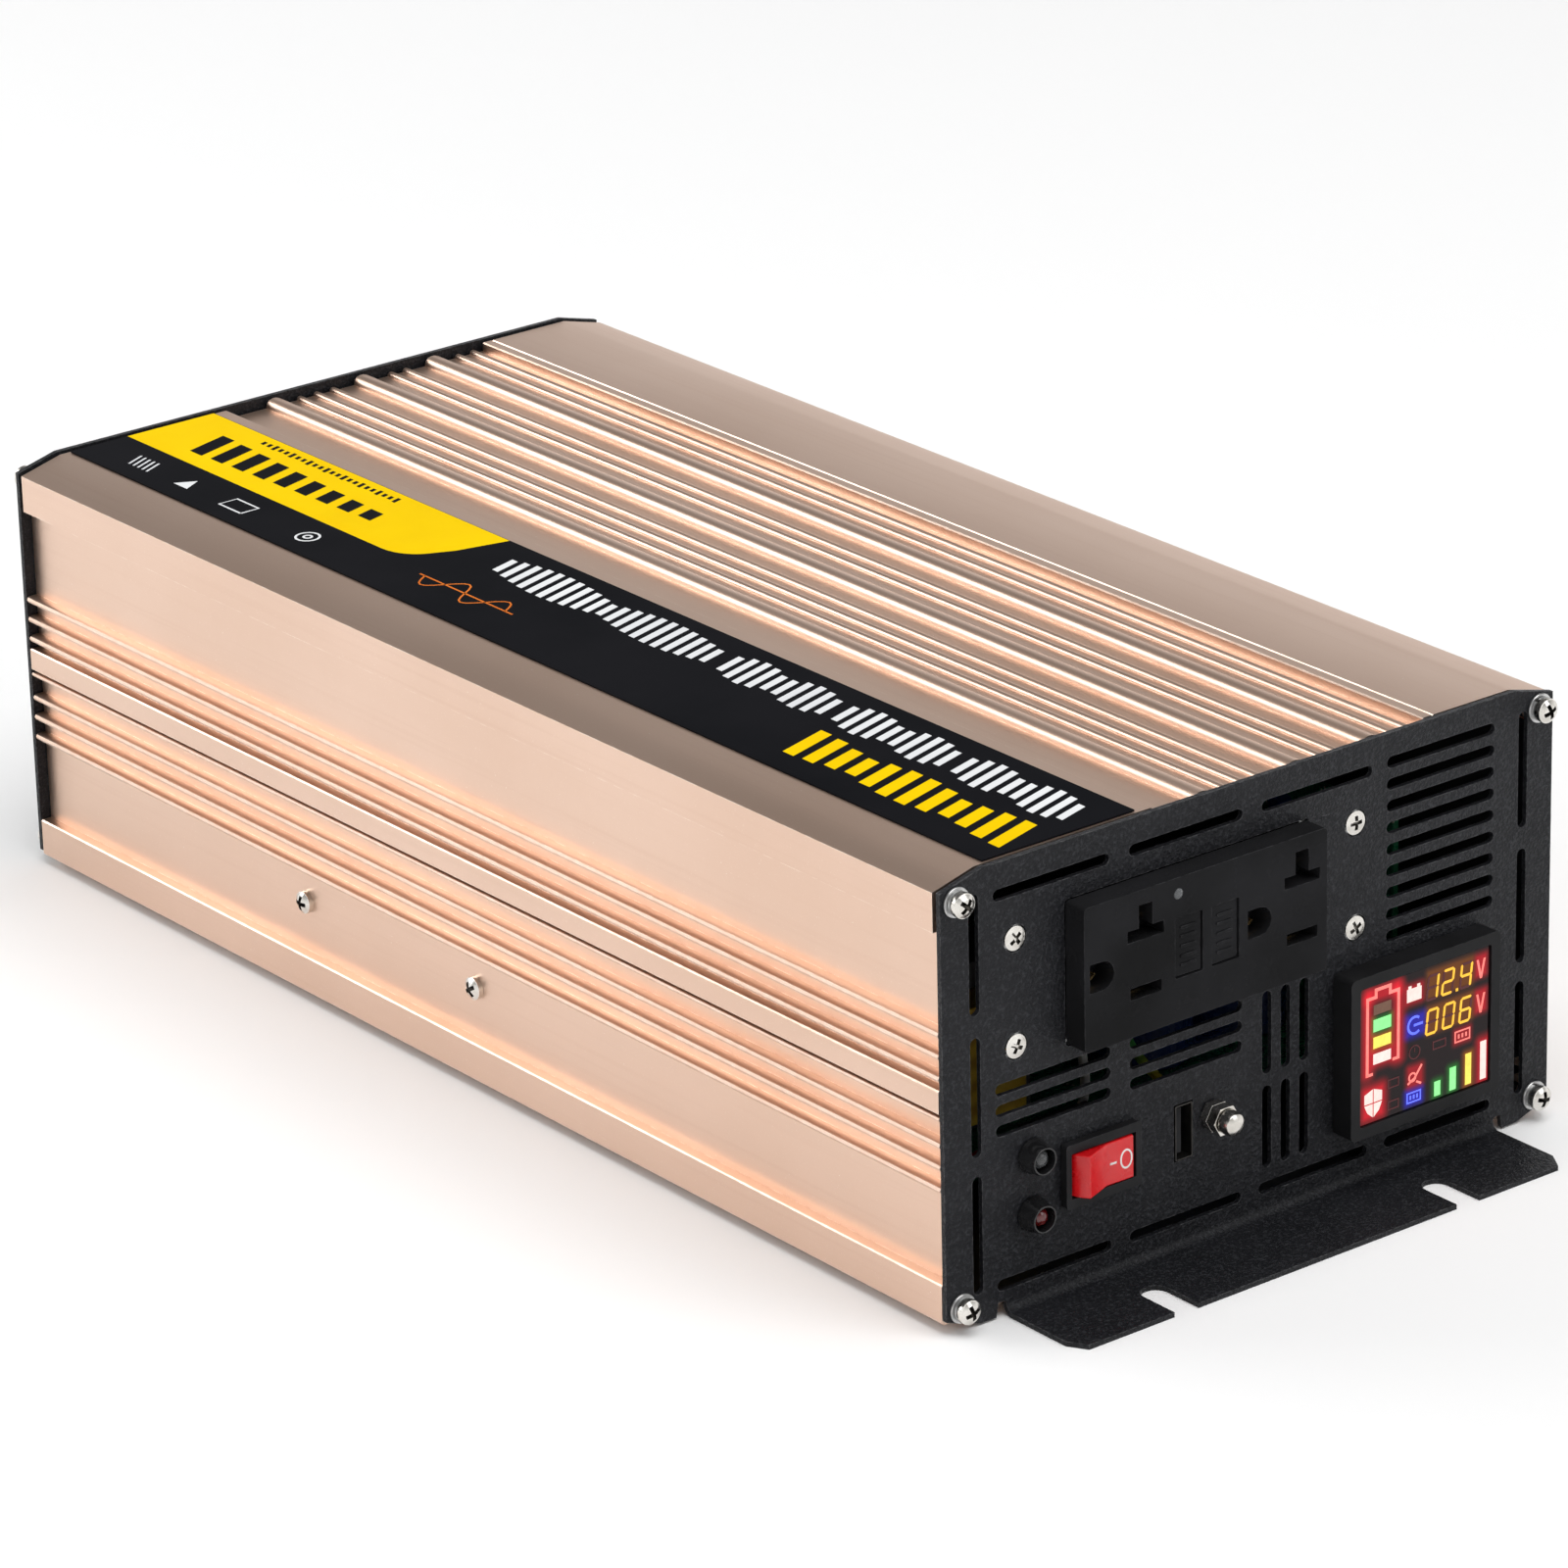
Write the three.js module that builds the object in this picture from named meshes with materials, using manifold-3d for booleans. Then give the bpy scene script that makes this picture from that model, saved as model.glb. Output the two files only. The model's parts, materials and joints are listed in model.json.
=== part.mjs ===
// Power inverter, 12 V in, duplex outlet out.  Millimetres, +Z up.
// Origin: on the floor, at the middle of the case.  The outlet panel faces -Y.
import * as THREE from 'three';
import { mergeVertices } from 'three/addons/utils/BufferGeometryUtils.js';
import Module from 'manifold-3d';

const wasm = await Module();
wasm.setup();

// ---------- driving dimensions ----------
const WIDTH = 175;            // end panel width, and the envelope of the ribbed walls
const HEIGHT = 105;           // end panel height, from the underside of its foot
const LENGTH = 352;           // over the outer faces of the two end panels
const SHEET = 1.2;            // end panel sheet thickness
const GAP = 0.3;              // clearance between pieces that touch
const FOOT_DEPTH = 24;        // how far a foot reaches out from its panel
const FOOT_WIDTH = 142;
const BEND_RADIUS = 2;        // inside radius where the panel turns into its foot
const NOTCH_SPACING = 82;     // between the two fixing notches of a foot
const NOTCH_WIDTH = 6.8;
const NOTCH_DEPTH = 13.4;
const CORNER_RUN = 11.3;      // width of the case's top chamfer
const CORNER_DROP = 2.9;
const WALL_SETBACK = 2.8;     // from the envelope to the side wall's own outer face
const WALL_INNER = 4.6;       // from the envelope to the inside face of a side wall
const CASE_BOTTOM = 2.4;
const FLOOR_TOP = 5;
const SEAM = 92.3;            // height of the joint between the body and the lid
const LID_TOP = 104.6;
const LID_UNDERSIDE = 100.4;
const LID_RECESS = 2.2;       // depth of the finned recess along the lid
const LID_SETBACK = 1;        // the lid stops short of each panel
const SLOT_WIDTH = 2.7;
const SCREW_INSET = 4.2;      // panel screws, from the panel's side edge
const SCREW_LOW = 5.8;
const SCREW_HIGH = 99.3;
const SHANK_RADIUS = 1.5;
const SCREW_HOLE = 1.85;
const OUTLET_PROUD = 6;       // how far the outlet face stands out of the panel
const DISPLAY_PROUD = 6.3;
const BUTTON_TRAVEL = 1.2;
const ROCKER_TILT = 10;       // degrees either side of the middle
const FAN_SIZE = 60;
const FAN_DEPTH = 20;
const FAN_SPACING = 92;
const FAN_HEIGHT = 64;
const TERMINAL_SPACING = 52;
const TERMINAL_HEIGHT = 20.5;
const BOARD_TOP = 13;
const BOARD_THICKNESS = 1.6;

const RAD = Math.PI / 180;

// ---------- materials ----------
function standard(color, roughness, metalness) {
  return new THREE.MeshStandardMaterial({ color, roughness, metalness });
}
const ANODISED = standard(0xd3b6a4, 0.42, 0.75);
const POWDER_COAT = standard(0x232427, 0.6, 0.1);
const BLACK_PLASTIC = standard(0x141416, 0.35, 0);
const NICKEL = standard(0xc9c7c0, 0.22, 1);
const BRASS = standard(0xc39a4a, 0.3, 1);
const COPPER = standard(0xb9683c, 0.32, 1);
const ALUMINIUM = standard(0xb8babd, 0.4, 1);
const RED_PLASTIC = standard(0xc81a22, 0.3, 0);
const GREEN_BOARD = standard(0x1f6b3a, 0.5, 0);
const YELLOW_TAPE = standard(0xe0b21c, 0.45, 0);
const FUSE_GREEN = standard(0x2f9b4c, 0.3, 0);
const WHITE_PLASTIC = standard(0xe6e6e2, 0.4, 0);
const SMOKED_GLASS = standard(0x1a0b0c, 0.08, 0);
const CLEAR_LENS = standard(0xbcc3c7, 0.1, 0);
const RED_LENS = standard(0x6a1216, 0.15, 0);
const LABEL_BLACK = standard(0x121316, 0.25, 0);
const SLEEVE_BLUE = standard(0x1f3f78, 0.35, 0);

// ---------- solids ----------
function weld(geometry) {
  const bare = geometry.clone();
  bare.deleteAttribute('normal');
  bare.deleteAttribute('uv');
  return mergeVertices(bare, 1e-4);
}

function toSolid(geometry) {
  const welded = weld(geometry);
  return new wasm.Manifold(new wasm.Mesh({
    numProp: 3,
    vertProperties: new Float32Array(welded.attributes.position.array),
    triVerts: new Uint32Array(welded.index.array),
  }));
}

function toGeometry(solid) {
  const result = solid.getMesh();
  const geometry = new THREE.BufferGeometry();
  geometry.setAttribute('position', new THREE.BufferAttribute(new Float32Array(result.vertProperties), 3));
  geometry.setIndex(new THREE.BufferAttribute(new Uint32Array(result.triVerts), 1));
  geometry.computeVertexNormals();
  return geometry;
}

function join(...geometries) {
  return toGeometry(geometries.map(toSolid).reduce((sum, solid) => sum.add(solid)));
}

function cut(geometry, ...tools) {
  return toGeometry(tools.map(toSolid).reduce((rest, tool) => rest.subtract(tool), toSolid(geometry)));
}

function common(geometry, other) {
  return toGeometry(toSolid(geometry).intersect(toSolid(other)));
}

// ---------- basic forms ----------
// A box between two corners.
function box(x0, x1, y0, y1, z0, z1) {
  const geometry = new THREE.BoxGeometry(x1 - x0, y1 - y0, z1 - z0);
  return geometry.translate((x0 + x1) / 2, (y0 + y1) / 2, (z0 + z1) / 2);
}

// An outline in X and Z, as thick as y0 to y1.
function plateXZ(outline, y0, y1, curveSegments = 4) {
  const options = { depth: y1 - y0, bevelEnabled: false, curveSegments };
  const geometry = new THREE.ExtrudeGeometry(outline, options);
  return geometry.rotateX(Math.PI / 2).translate(0, y1, 0);
}

// An outline in X and Y, as tall as z0 to z1.
function plateXY(outline, z0, z1, curveSegments = 4) {
  const options = { depth: z1 - z0, bevelEnabled: false, curveSegments };
  const geometry = new THREE.ExtrudeGeometry(outline, options);
  return geometry.translate(0, 0, z0);
}

// A turned piece on the Y axis: each profile point is [radius, y].
function turned(profile, x = 0, z = 0, segments = 16) {
  const points = profile.map(([radius, y]) => new THREE.Vector2(radius, y));
  return new THREE.LatheGeometry(points, segments).translate(x, 0, z);
}

// A turned piece that stands on the Z axis: each profile point is [radius, z].
function upright(profile, x, y, segments = 16) {
  const points = profile.map(([radius, z]) => new THREE.Vector2(radius, z));
  return new THREE.LatheGeometry(points, segments).rotateX(Math.PI / 2).translate(x, y, 0);
}

function rodY(radius, y0, y1, x, z, segments = 16) {
  return turned([[0, y0], [radius, y0], [radius, y1], [0, y1]], x, z, segments);
}

function rodX(radius, x0, x1, y, z, segments = 12) {
  const rod = rodY(radius, x0, x1, 0, 0, segments).rotateZ(-Math.PI / 2);
  return rod.translate(0, y, z);
}

function polygon(points) {
  return new THREE.Shape(points.map(([x, y]) => new THREE.Vector2(x, y)));
}

// A round hole as a polygon whose flats touch the radius, so that a shaft of that radius passes.
function circle(x, y, radius, sides = 12) {
  const corner = radius / Math.cos(Math.PI / sides);
  const turns = Array.from({ length: sides }, (_, i) => (i + 0.5) * 2 * Math.PI / sides);
  return new THREE.Path(turns.map((angle) => (
    new THREE.Vector2(x + corner * Math.cos(angle), y + corner * Math.sin(angle)))));
}

function roundedRectangle(x0, x1, y0, y1, radius, Kind = THREE.Shape) {
  const path = new Kind();
  path.moveTo(x0 + radius, y0);
  path.lineTo(x1 - radius, y0);
  path.absarc(x1 - radius, y0 + radius, radius, -Math.PI / 2, 0, false);
  path.absarc(x1 - radius, y1 - radius, radius, 0, Math.PI / 2, false);
  path.absarc(x0 + radius, y1 - radius, radius, Math.PI / 2, Math.PI, false);
  path.absarc(x0 + radius, y0 + radius, radius, Math.PI, 1.5 * Math.PI, false);
  return path;
}

function hexagon(x, y, acrossFlats) {
  const radius = acrossFlats / Math.sqrt(3);
  const corners = [0, 1, 2, 3, 4, 5].map((i) => i * 60 * RAD);
  return polygon(corners.map((angle) => [x + radius * Math.cos(angle), y + radius * Math.sin(angle)]));
}

// A pan-head screw on the Y axis, its head's seat at y = 0 and its head towards -Y.
function panScrew(headRadius, headHeight, length) {
  return turned([
    [0, -headHeight],
    [0.6 * headRadius, -0.94 * headHeight],
    [headRadius, -0.45 * headHeight],
    [headRadius, 0],
    [SHANK_RADIUS, 0],
    [SHANK_RADIUS, length],
    [0, length],
  ], 0, 0, 12);
}

// ---------- the assembly ----------
const inverter = new THREE.Group();
// Both ends are laid out the same way: X along the panel from its left edge, Z up from its foot,
// and the panel's outer face at y = 0 with the case behind it.
const front = new THREE.Group();
front.position.set(-WIDTH / 2, -LENGTH / 2, 0);
const rear = new THREE.Group();
rear.position.set(WIDTH / 2, LENGTH / 2, 0);
rear.rotation.z = Math.PI;
inverter.add(front, rear);

function piece(parent, name, geometry, material) {
  const mesh = new THREE.Mesh(geometry, material);
  mesh.name = name;
  parent.add(mesh);
  return mesh;
}

// ---------- case: ribbed body and finned lid ----------
// One side of the body from the top down, as (depth inside the envelope, height).
// The wall itself is set back; round-edged fins, a plateau and a skirt stand out to the envelope.
function wallProfile() {
  const fin = (top, thickness = 1.7) => {
    const round = thickness / 2;
    const tip = [90, 45, 0, -45, -90].map((degrees) => {
      const angle = degrees * RAD;
      return [round - round * Math.cos(angle), top - round + round * Math.sin(angle)];
    });
    return [[WALL_SETBACK, top], ...tip, [WALL_SETBACK, top - thickness]];
  };
  return [
    [WALL_SETBACK, TONGUE_TOP],
    ...fin(70.4),
    ...fin(65.35),
    ...fin(60.3),
    [WALL_SETBACK, 56.9],
    [0.3, 56.9],
    [0, 56.6],
    [0, 51.6],
    [0.2, 51.4],
    [WALL_SETBACK, 51.4],
    ...fin(50.8, 1.2),
    ...fin(44.9),
    ...fin(39.8),
    ...fin(34.6),
    [WALL_SETBACK, 11.8],
    [0.3, 11.8],
    [0, 11.5],
    [0, CASE_BOTTOM + 0.5],
    [0.5, CASE_BOTTOM],
  ];
}

const CASE_HALF = LENGTH / 2 - SHEET - GAP;
const TONGUE_TOP = 95.4;      // the wall runs up inside the lid's edge to here
const SIDE_SCREW_HEIGHT = 24.4;
const SIDE_SCREW_STATIONS = [-4.4, 63.1];
const BOARD_BOTTOM = BOARD_TOP - BOARD_THICKNESS;
const RAIL = { reach: 3, thickness: 1.6, clearance: 0.4 };

// The channel along a corner that the panel screws cut their thread in.
function screwChannel(x, z, halfLength) {
  return rodY(3.2, -halfLength, halfLength, x, z, 14);
}

function screwBore(x, z) {
  return rodY(SCREW_HOLE, -LENGTH / 2, LENGTH / 2, x, z, 12);
}

// Inside face of the right wall, from its tongue down, with the two rails that hold the board.
function wallInside(inner) {
  const upper = BOARD_TOP + RAIL.clearance;
  const lower = BOARD_BOTTOM - RAIL.clearance;
  return [
    [inner, TONGUE_TOP],
    [inner, upper + RAIL.thickness],
    [inner - RAIL.reach, upper + RAIL.thickness],
    [inner - RAIL.reach, upper],
    [inner, upper],
    [inner, lower],
    [inner - RAIL.reach, lower],
    [inner - RAIL.reach, lower - RAIL.thickness],
    [inner, lower - RAIL.thickness],
    [inner, FLOOR_TOP],
  ];
}

function caseBody() {
  const half = WIDTH / 2;
  const mirror = (points) => points.map(([x, z]) => [-x, z]).reverse();
  const rightOutside = wallProfile().map(([depth, z]) => [half - depth, z]).reverse();
  const rightHalf = [
    ...rightOutside,
    ...wallInside(half - WALL_INNER),
  ];
  const shell = plateXZ(polygon([...rightHalf, ...mirror(rightHalf)]), -CASE_HALF, CASE_HALF);
  const corners = [-1, 1].map((side) => side * (half - SCREW_INSET));
  const channels = corners.map((x) => screwChannel(x, SCREW_LOW, CASE_HALF));
  const bores = corners.map((x) => screwBore(x, SCREW_LOW));
  const sideHoles = [-1, 1].flatMap((side) => SIDE_SCREW_STATIONS.map((y) => (
    rodX(SCREW_HOLE, side * half - 6, side * half + 6, y, SIDE_SCREW_HEIGHT))));
  return cut(join(shell, ...channels), ...bores, ...sideHoles);
}

// Fins of the lid, each by where its left flank starts.
const TALL_FINS = { starts: [71.9, 98.4, 120.2], height: LID_RECESS, round: 1.9, crown: 1 };
const LOW_FINS = { starts: [81, 86, 91, 108.7, 113.2, 129.4, 134], height: 1, round: 0.9, crown: 0.1 };

// A round-shouldered fin standing on the floor of the recess.
function finOutline(start, { height, round, crown }, floor) {
  const shoulder = [0, 1, 2, 3].map((step) => {
    const angle = step * 30 * RAD;
    return [round - round * Math.cos(angle), floor + height - round + round * Math.sin(angle)];
  });
  const left = [[0, floor], ...shoulder].map(([x, z]) => [start + x, z]);
  const end = 2 * start + 2 * round + crown;
  return [...left, ...left.map(([x, z]) => [end - x, z]).reverse()];
}

function caseLid() {
  const half = WIDTH / 2;
  const length = CASE_HALF - LID_SETBACK;
  const leg = WALL_SETBACK - GAP;
  const floor = LID_TOP - LID_RECESS;
  const fins = [
    ...TALL_FINS.starts.map((start) => finOutline(start, TALL_FINS, floor)),
    ...LOW_FINS.starts.map((start) => finOutline(start, LOW_FINS, floor)),
  ].sort((a, b) => a[0][0] - b[0][0]).flat();
  const shoulder = LID_TOP - CORNER_DROP;
  const outline = [
    [0, SEAM + GAP],
    [0, shoulder],
    [CORNER_RUN, LID_TOP],
    [60, LID_TOP],
    [60.6, LID_TOP - 0.5],
    [60.6, floor],
    ...fins,
    [138.2, floor],
    [138.2, LID_TOP - 0.3],
    [138.5, LID_TOP],
    [140.8, LID_TOP],
    [141.1, LID_TOP - 0.4],
    [141.4, LID_TOP],
    [WIDTH - CORNER_RUN, LID_TOP],
    [WIDTH, shoulder],
    [WIDTH, SEAM + GAP],
    [WIDTH - leg, SEAM + GAP],
    [WIDTH - leg, 98],
    [WIDTH - 8, LID_UNDERSIDE],
    [8, LID_UNDERSIDE],
    [leg, 98],
    [leg, SEAM + GAP],
  ];
  const section = polygon(outline.map(([x, z]) => [x - half, z]).reverse());
  const corners = [-1, 1].map((side) => side * (half - SCREW_INSET));
  const channels = corners.map((x) => screwChannel(x, SCREW_HIGH, length));
  const bores = corners.map((x) => screwBore(x, SCREW_HIGH));
  return cut(join(plateXZ(section, -length, length), ...channels), ...bores);
}

piece(inverter, 'case_body', caseBody(), ANODISED);
piece(inverter, 'case_lid', caseLid(), ANODISED);

// A printed sheet stuck on the lid's wide flat.
const LABEL = { x0: 14, x1: 56, thickness: 0.35 };
piece(inverter, 'top_label', box(
  LABEL.x0 - WIDTH / 2, LABEL.x1 - WIDTH / 2,
  -CASE_HALF + LID_SETBACK + 0.6, CASE_HALF - LID_SETBACK - 0.6,
  LID_TOP + 0.1, LID_TOP + 0.1 + LABEL.thickness,
), LABEL_BLACK);

// ---------- end panels ----------
function slotPath(x, z, length, vertical) {
  const radius = SLOT_WIDTH / 2;
  const reach = length / 2 - radius;
  const path = new THREE.Path();
  if (vertical) {
    path.absarc(x, z + reach, radius, 0, Math.PI, false);
    path.absarc(x, z - reach, radius, Math.PI, 2 * Math.PI, false);
  } else {
    path.absarc(x + reach, z, radius, -Math.PI / 2, Math.PI / 2, false);
    path.absarc(x - reach, z, radius, Math.PI / 2, 1.5 * Math.PI, false);
  }
  return path;
}

function panelOutline() {
  const footStart = (WIDTH - FOOT_WIDTH) / 2;
  const bendTop = SHEET + BEND_RADIUS;
  const leftHalf = [
    [footStart, bendTop],
    [footStart - 0.6, bendTop + 0.6],
    [footStart - 2.2, bendTop + 0.6],
    [footStart - 2.8, 0.5],
    [9.5, 0.5],
    [0, 3.6],
    [0, HEIGHT - CORNER_DROP],
    [CORNER_RUN, HEIGHT],
  ];
  const rightHalf = leftHalf.map(([x, z]) => [WIDTH - x, z]).reverse();
  return polygon([...leftHalf, ...rightHalf].reverse());
}

// The foot: the sheet's bottom edge turned outward, with two notches open to its edge.
function panelFoot() {
  const outer = SHEET + BEND_RADIUS;
  const profile = new THREE.Shape();
  profile.moveTo(SHEET, outer + 0.01);
  profile.lineTo(0, outer + 0.01);
  profile.lineTo(0, outer);
  profile.absarc(-BEND_RADIUS, outer, BEND_RADIUS, 0, -Math.PI / 2, true);
  profile.lineTo(-FOOT_DEPTH, SHEET);
  profile.lineTo(-FOOT_DEPTH, 0);
  profile.lineTo(-BEND_RADIUS, 0);
  profile.absarc(-BEND_RADIUS, outer, outer, -Math.PI / 2, 0, false);
  const options = { depth: FOOT_WIDTH, bevelEnabled: false, curveSegments: 5 };
  const strip = new THREE.ExtrudeGeometry(profile, options);
  // Its outline is drawn in Y and Z and pushed out along X.
  strip.rotateY(Math.PI / 2).rotateX(Math.PI / 2);
  strip.translate((WIDTH - FOOT_WIDTH) / 2, 0, 0);
  const x0 = (WIDTH - FOOT_WIDTH) / 2;
  const x1 = x0 + FOOT_WIDTH;
  const corner = 4.6;
  const plan = polygon([
    [x0 - 1, SHEET + 1],
    [x0 - 1, -2],
    [x0, -3.5],
    [x0, -FOOT_DEPTH + corner],
    [x0 + 0.6 * corner, -FOOT_DEPTH],
    [x1 - 0.6 * corner, -FOOT_DEPTH],
    [x1, -FOOT_DEPTH + corner],
    [x1, -3.5],
    [x1 + 1, -2],
    [x1 + 1, SHEET + 1],
  ]);
  const notches = [-1, 1].map((side) => {
    const x = WIDTH / 2 + side * NOTCH_SPACING / 2;
    const radius = NOTCH_WIDTH / 2;
    const inner = -FOOT_DEPTH + NOTCH_DEPTH - radius;
    const notch = new THREE.Shape();
    notch.moveTo(x - radius, -FOOT_DEPTH - 2);
    notch.lineTo(x + radius, -FOOT_DEPTH - 2);
    notch.absarc(x, inner, radius, 0, Math.PI, false);
    return plateXY(notch, -1, SHEET + 1, 5);
  });
  return cut(common(strip, plateXY(plan, -1, HEIGHT)), ...notches);
}

function endPanel(holes, curveSegments) {
  const outline = panelOutline();
  outline.holes.push(...holes);
  [SCREW_INSET, WIDTH - SCREW_INSET].forEach((x) => {
    [SCREW_LOW, SCREW_HIGH].forEach((z) => outline.holes.push(circle(x, z, SCREW_HOLE, 8)));
  });
  return join(plateXZ(outline, 0, SHEET, curveSegments), panelFoot());
}

// Rows of vents: [first centre x, pitch, how many, slot length] at each height.
function ventRow(z, firstX, pitch, count, length) {
  return Array.from({ length: count }, (_, i) => slotPath(firstX + i * pitch, z, length, false));
}

function ventColumn(x, heights, length) {
  return heights.map((z) => slotPath(x, z, length, true));
}

const SIDE_COLUMN_HEIGHTS = [21.2, 53.2, 85.8];
const SLOT_LONG = 32;
const SLOT_TALL = 27.5;

// Fittings of the front panel, in panel coordinates.
const OUTLET = { x0: 34, x1: 102.7, z0: 57.9, z1: 91.2 };
const OUTLET_SCREWS = [[20.1, 86.6], [20.1, 61.9], [116.4, 86.6], [116.4, 61.9]];
const DISPLAY = { x0: 109.8, x1: 154.2, z0: 14.3, z1: 52.8, rim: 2.7 };
const SWITCH = { x: 42.3, z: 28.2, width: 21, height: 15, proud: 2.2 };
const LAMPS = [[24, 35.5], [23.8, 22]];
const USB = { x0: 63.9, x1: 69.4, z0: 21.4, z1: 35 };
const GROUND = { x: 74.6, z: 30 };

function frontPanel() {
  const vents = [
    ...ventColumn(8.9, SIDE_COLUMN_HEIGHTS, SLOT_TALL),
    ...ventColumn(WIDTH - 8.9, SIDE_COLUMN_HEIGHTS, SLOT_TALL),
    ...ventRow(97.6, 30.2, 37.5, 3, SLOT_LONG),
    ...ventRow(7.6, 30.1, 37.1, 4, SLOT_LONG),
    ...[53.1, 48.3, 43.6].flatMap((z) => ventRow(z, 30.2, 37.3, 2, SLOT_LONG)),
    ...Array.from({ length: 9 }, (_, i) => slotPath(141.5, 98 - 5.12 * i, SLOT_LONG, false)),
    ...[90.7, 96.1, 101.5].flatMap((x) => ventColumn(x, [44.5, 22.1], 19.6)),
  ];
  const outletHole = roundedRectangle(
    OUTLET.x0 - GAP, OUTLET.x1 + GAP, OUTLET.z0 - GAP, OUTLET.z1 + GAP, 1.2, THREE.Path);
  const displayHole = roundedRectangle(
    DISPLAY.x0 + 1.6, DISPLAY.x1 - 1.6, DISPLAY.z0 + 1.6, DISPLAY.z1 - 1.6, 1, THREE.Path);
  const switchHole = roundedRectangle(
    SWITCH.x - 9.9, SWITCH.x + 9.9, SWITCH.z - 6.9, SWITCH.z + 6.9, 0.8, THREE.Path);
  const usbHole = roundedRectangle(USB.x0, USB.x1, USB.z0, USB.z1, 0.4, THREE.Path);
  return endPanel([
    ...vents,
    outletHole,
    displayHole,
    switchHole,
    usbHole,
    circle(GROUND.x, GROUND.z, 2.4),
    ...OUTLET_SCREWS.map(([x, z]) => circle(x, z, 3.1)),
    ...LAMPS.map(([x, z]) => circle(x, z, 3.3)),
  ], 3);
}

const FAN_CENTRES = [-1, 1].map((side) => WIDTH / 2 + side * FAN_SPACING / 2);
const FAN_SCREW_REACH = 25;
const TERMINAL_CENTRES = [-1, 1].map((side) => WIDTH / 2 + side * TERMINAL_SPACING / 2);
const TERMINAL_HOLE = 6.5;

// One quarter of a ring-shaped air opening in the guard.
function guardOpening(x, z, inner, outer, quarter) {
  const middle = (inner + outer) / 2;
  const spoke = 1.5 / middle;
  const start = quarter * Math.PI / 2 + Math.PI / 4 + spoke;
  const end = (quarter + 1) * Math.PI / 2 + Math.PI / 4 - spoke;
  const path = new THREE.Path();
  path.absarc(x, z, outer, start, end, false);
  path.absarc(x, z, inner, end, start, true);
  return path;
}

function rearPanel() {
  const rings = [[9, 13], [15.5, 19.5], [22, 26.5]];
  const guards = FAN_CENTRES.flatMap((x) => rings.flatMap(([inner, outer]) => (
    [0, 1, 2, 3].map((quarter) => guardOpening(x, FAN_HEIGHT, inner, outer, quarter)))));
  const fanScrews = FAN_CENTRES.flatMap((x) => [-1, 1].flatMap((i) => [-1, 1].map((j) => (
    circle(x + i * FAN_SCREW_REACH, FAN_HEIGHT + j * FAN_SCREW_REACH, SCREW_HOLE, 6)))));
  const vents = [
    ...ventColumn(8.9, SIDE_COLUMN_HEIGHTS, SLOT_TALL),
    ...ventColumn(WIDTH - 8.9, SIDE_COLUMN_HEIGHTS, SLOT_TALL),
    ...ventRow(98, 31.25, 37.5, 4, SLOT_LONG),
  ];
  const terminals = TERMINAL_CENTRES.map((x) => circle(x, TERMINAL_HEIGHT, TERMINAL_HOLE));
  return endPanel([...vents, ...guards, ...fanScrews, ...terminals], 2);
}

piece(front, 'front_panel', frontPanel(), POWDER_COAT);
piece(rear, 'rear_panel', rearPanel(), POWDER_COAT);

// ---------- screws that hold the case together ----------
// A pan-head screw with its spring washer and flat washer, seated on a panel.
function panelScrew() {
  const seat = -GAP;
  return turned([
    [0, seat - 4.4],
    [1.7, seat - 4.2],
    [2.9, seat - 3.2],
    [2.9, seat - 0.9],
    [3.6, seat - 0.8],
    [3.6, seat],
    [SHANK_RADIUS, seat],
    [SHANK_RADIUS, 12],
    [0, 12],
  ], 0, 0, 12);
}

const CORNERS = [
  ['lower_left', SCREW_INSET, SCREW_LOW],
  ['upper_left', SCREW_INSET, SCREW_HIGH],
  ['lower_right', WIDTH - SCREW_INSET, SCREW_LOW],
  ['upper_right', WIDTH - SCREW_INSET, SCREW_HIGH],
];
CORNERS.forEach(([corner, x, z]) => {
  piece(front, `panel_screw_${corner}`, panelScrew().translate(x, 0, z), NICKEL);
});

const SIDE_SCREW_LENGTH = 7;
[['left', -1], ['right', 1]].forEach(([sideName, side]) => {
  SIDE_SCREW_STATIONS.forEach((y, i) => {
    const name = `side_screw_${sideName}_${i + 1}`;
    const screw = piece(inverter, name, panScrew(2.8, 2.2, SIDE_SCREW_LENGTH), NICKEL);
    screw.rotation.z = side * Math.PI / 2;
    screw.position.set(side * (WIDTH / 2 - WALL_SETBACK + GAP), y, SIDE_SCREW_HEIGHT);
  });
});

// ---------- duplex outlet ----------
// Both sockets lie on their side, with the earth hole to the left.
const SOCKETS = [51.1, 95.5];
const BUTTONS = { z0: 68.2, z1: 81.6, test: 63.25, reset: 73.55, width: 7.2 };

function socketOpenings(x) {
  const z = (OUTLET.z0 + OUTLET.z1) / 2;
  const tSlot = new THREE.Path();
  [[-5.1, 5.3], [5.1, 5.3], [5.1, 8], [1.9, 8], [1.9, 13.2], [-1.9, 13.2], [-1.9, 8], [-5.1, 8]]
    .forEach(([dx, dz], i) => tSlot[i === 0 ? 'moveTo' : 'lineTo'](x + dx, z + dz));
  const blade = roundedRectangle(x - 4.4, x + 4.4, z - 8, z - 5.3, 0.2, THREE.Path);
  const earth = new THREE.Path();
  earth.moveTo(x - 15.6, z - 3.3);
  earth.lineTo(x - 12.1, z - 3.3);
  earth.absarc(x - 12.1, z, 3.3, -Math.PI / 2, Math.PI / 2, false);
  earth.lineTo(x - 15.6, z + 3.3);
  return [tSlot, blade, earth];
}

function buttonOpening(x) {
  const half = BUTTONS.width / 2 + GAP;
  return roundedRectangle(x - half, x + half, BUTTONS.z0 - GAP, BUTTONS.z1 + GAP, 0.4, THREE.Path);
}

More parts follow.
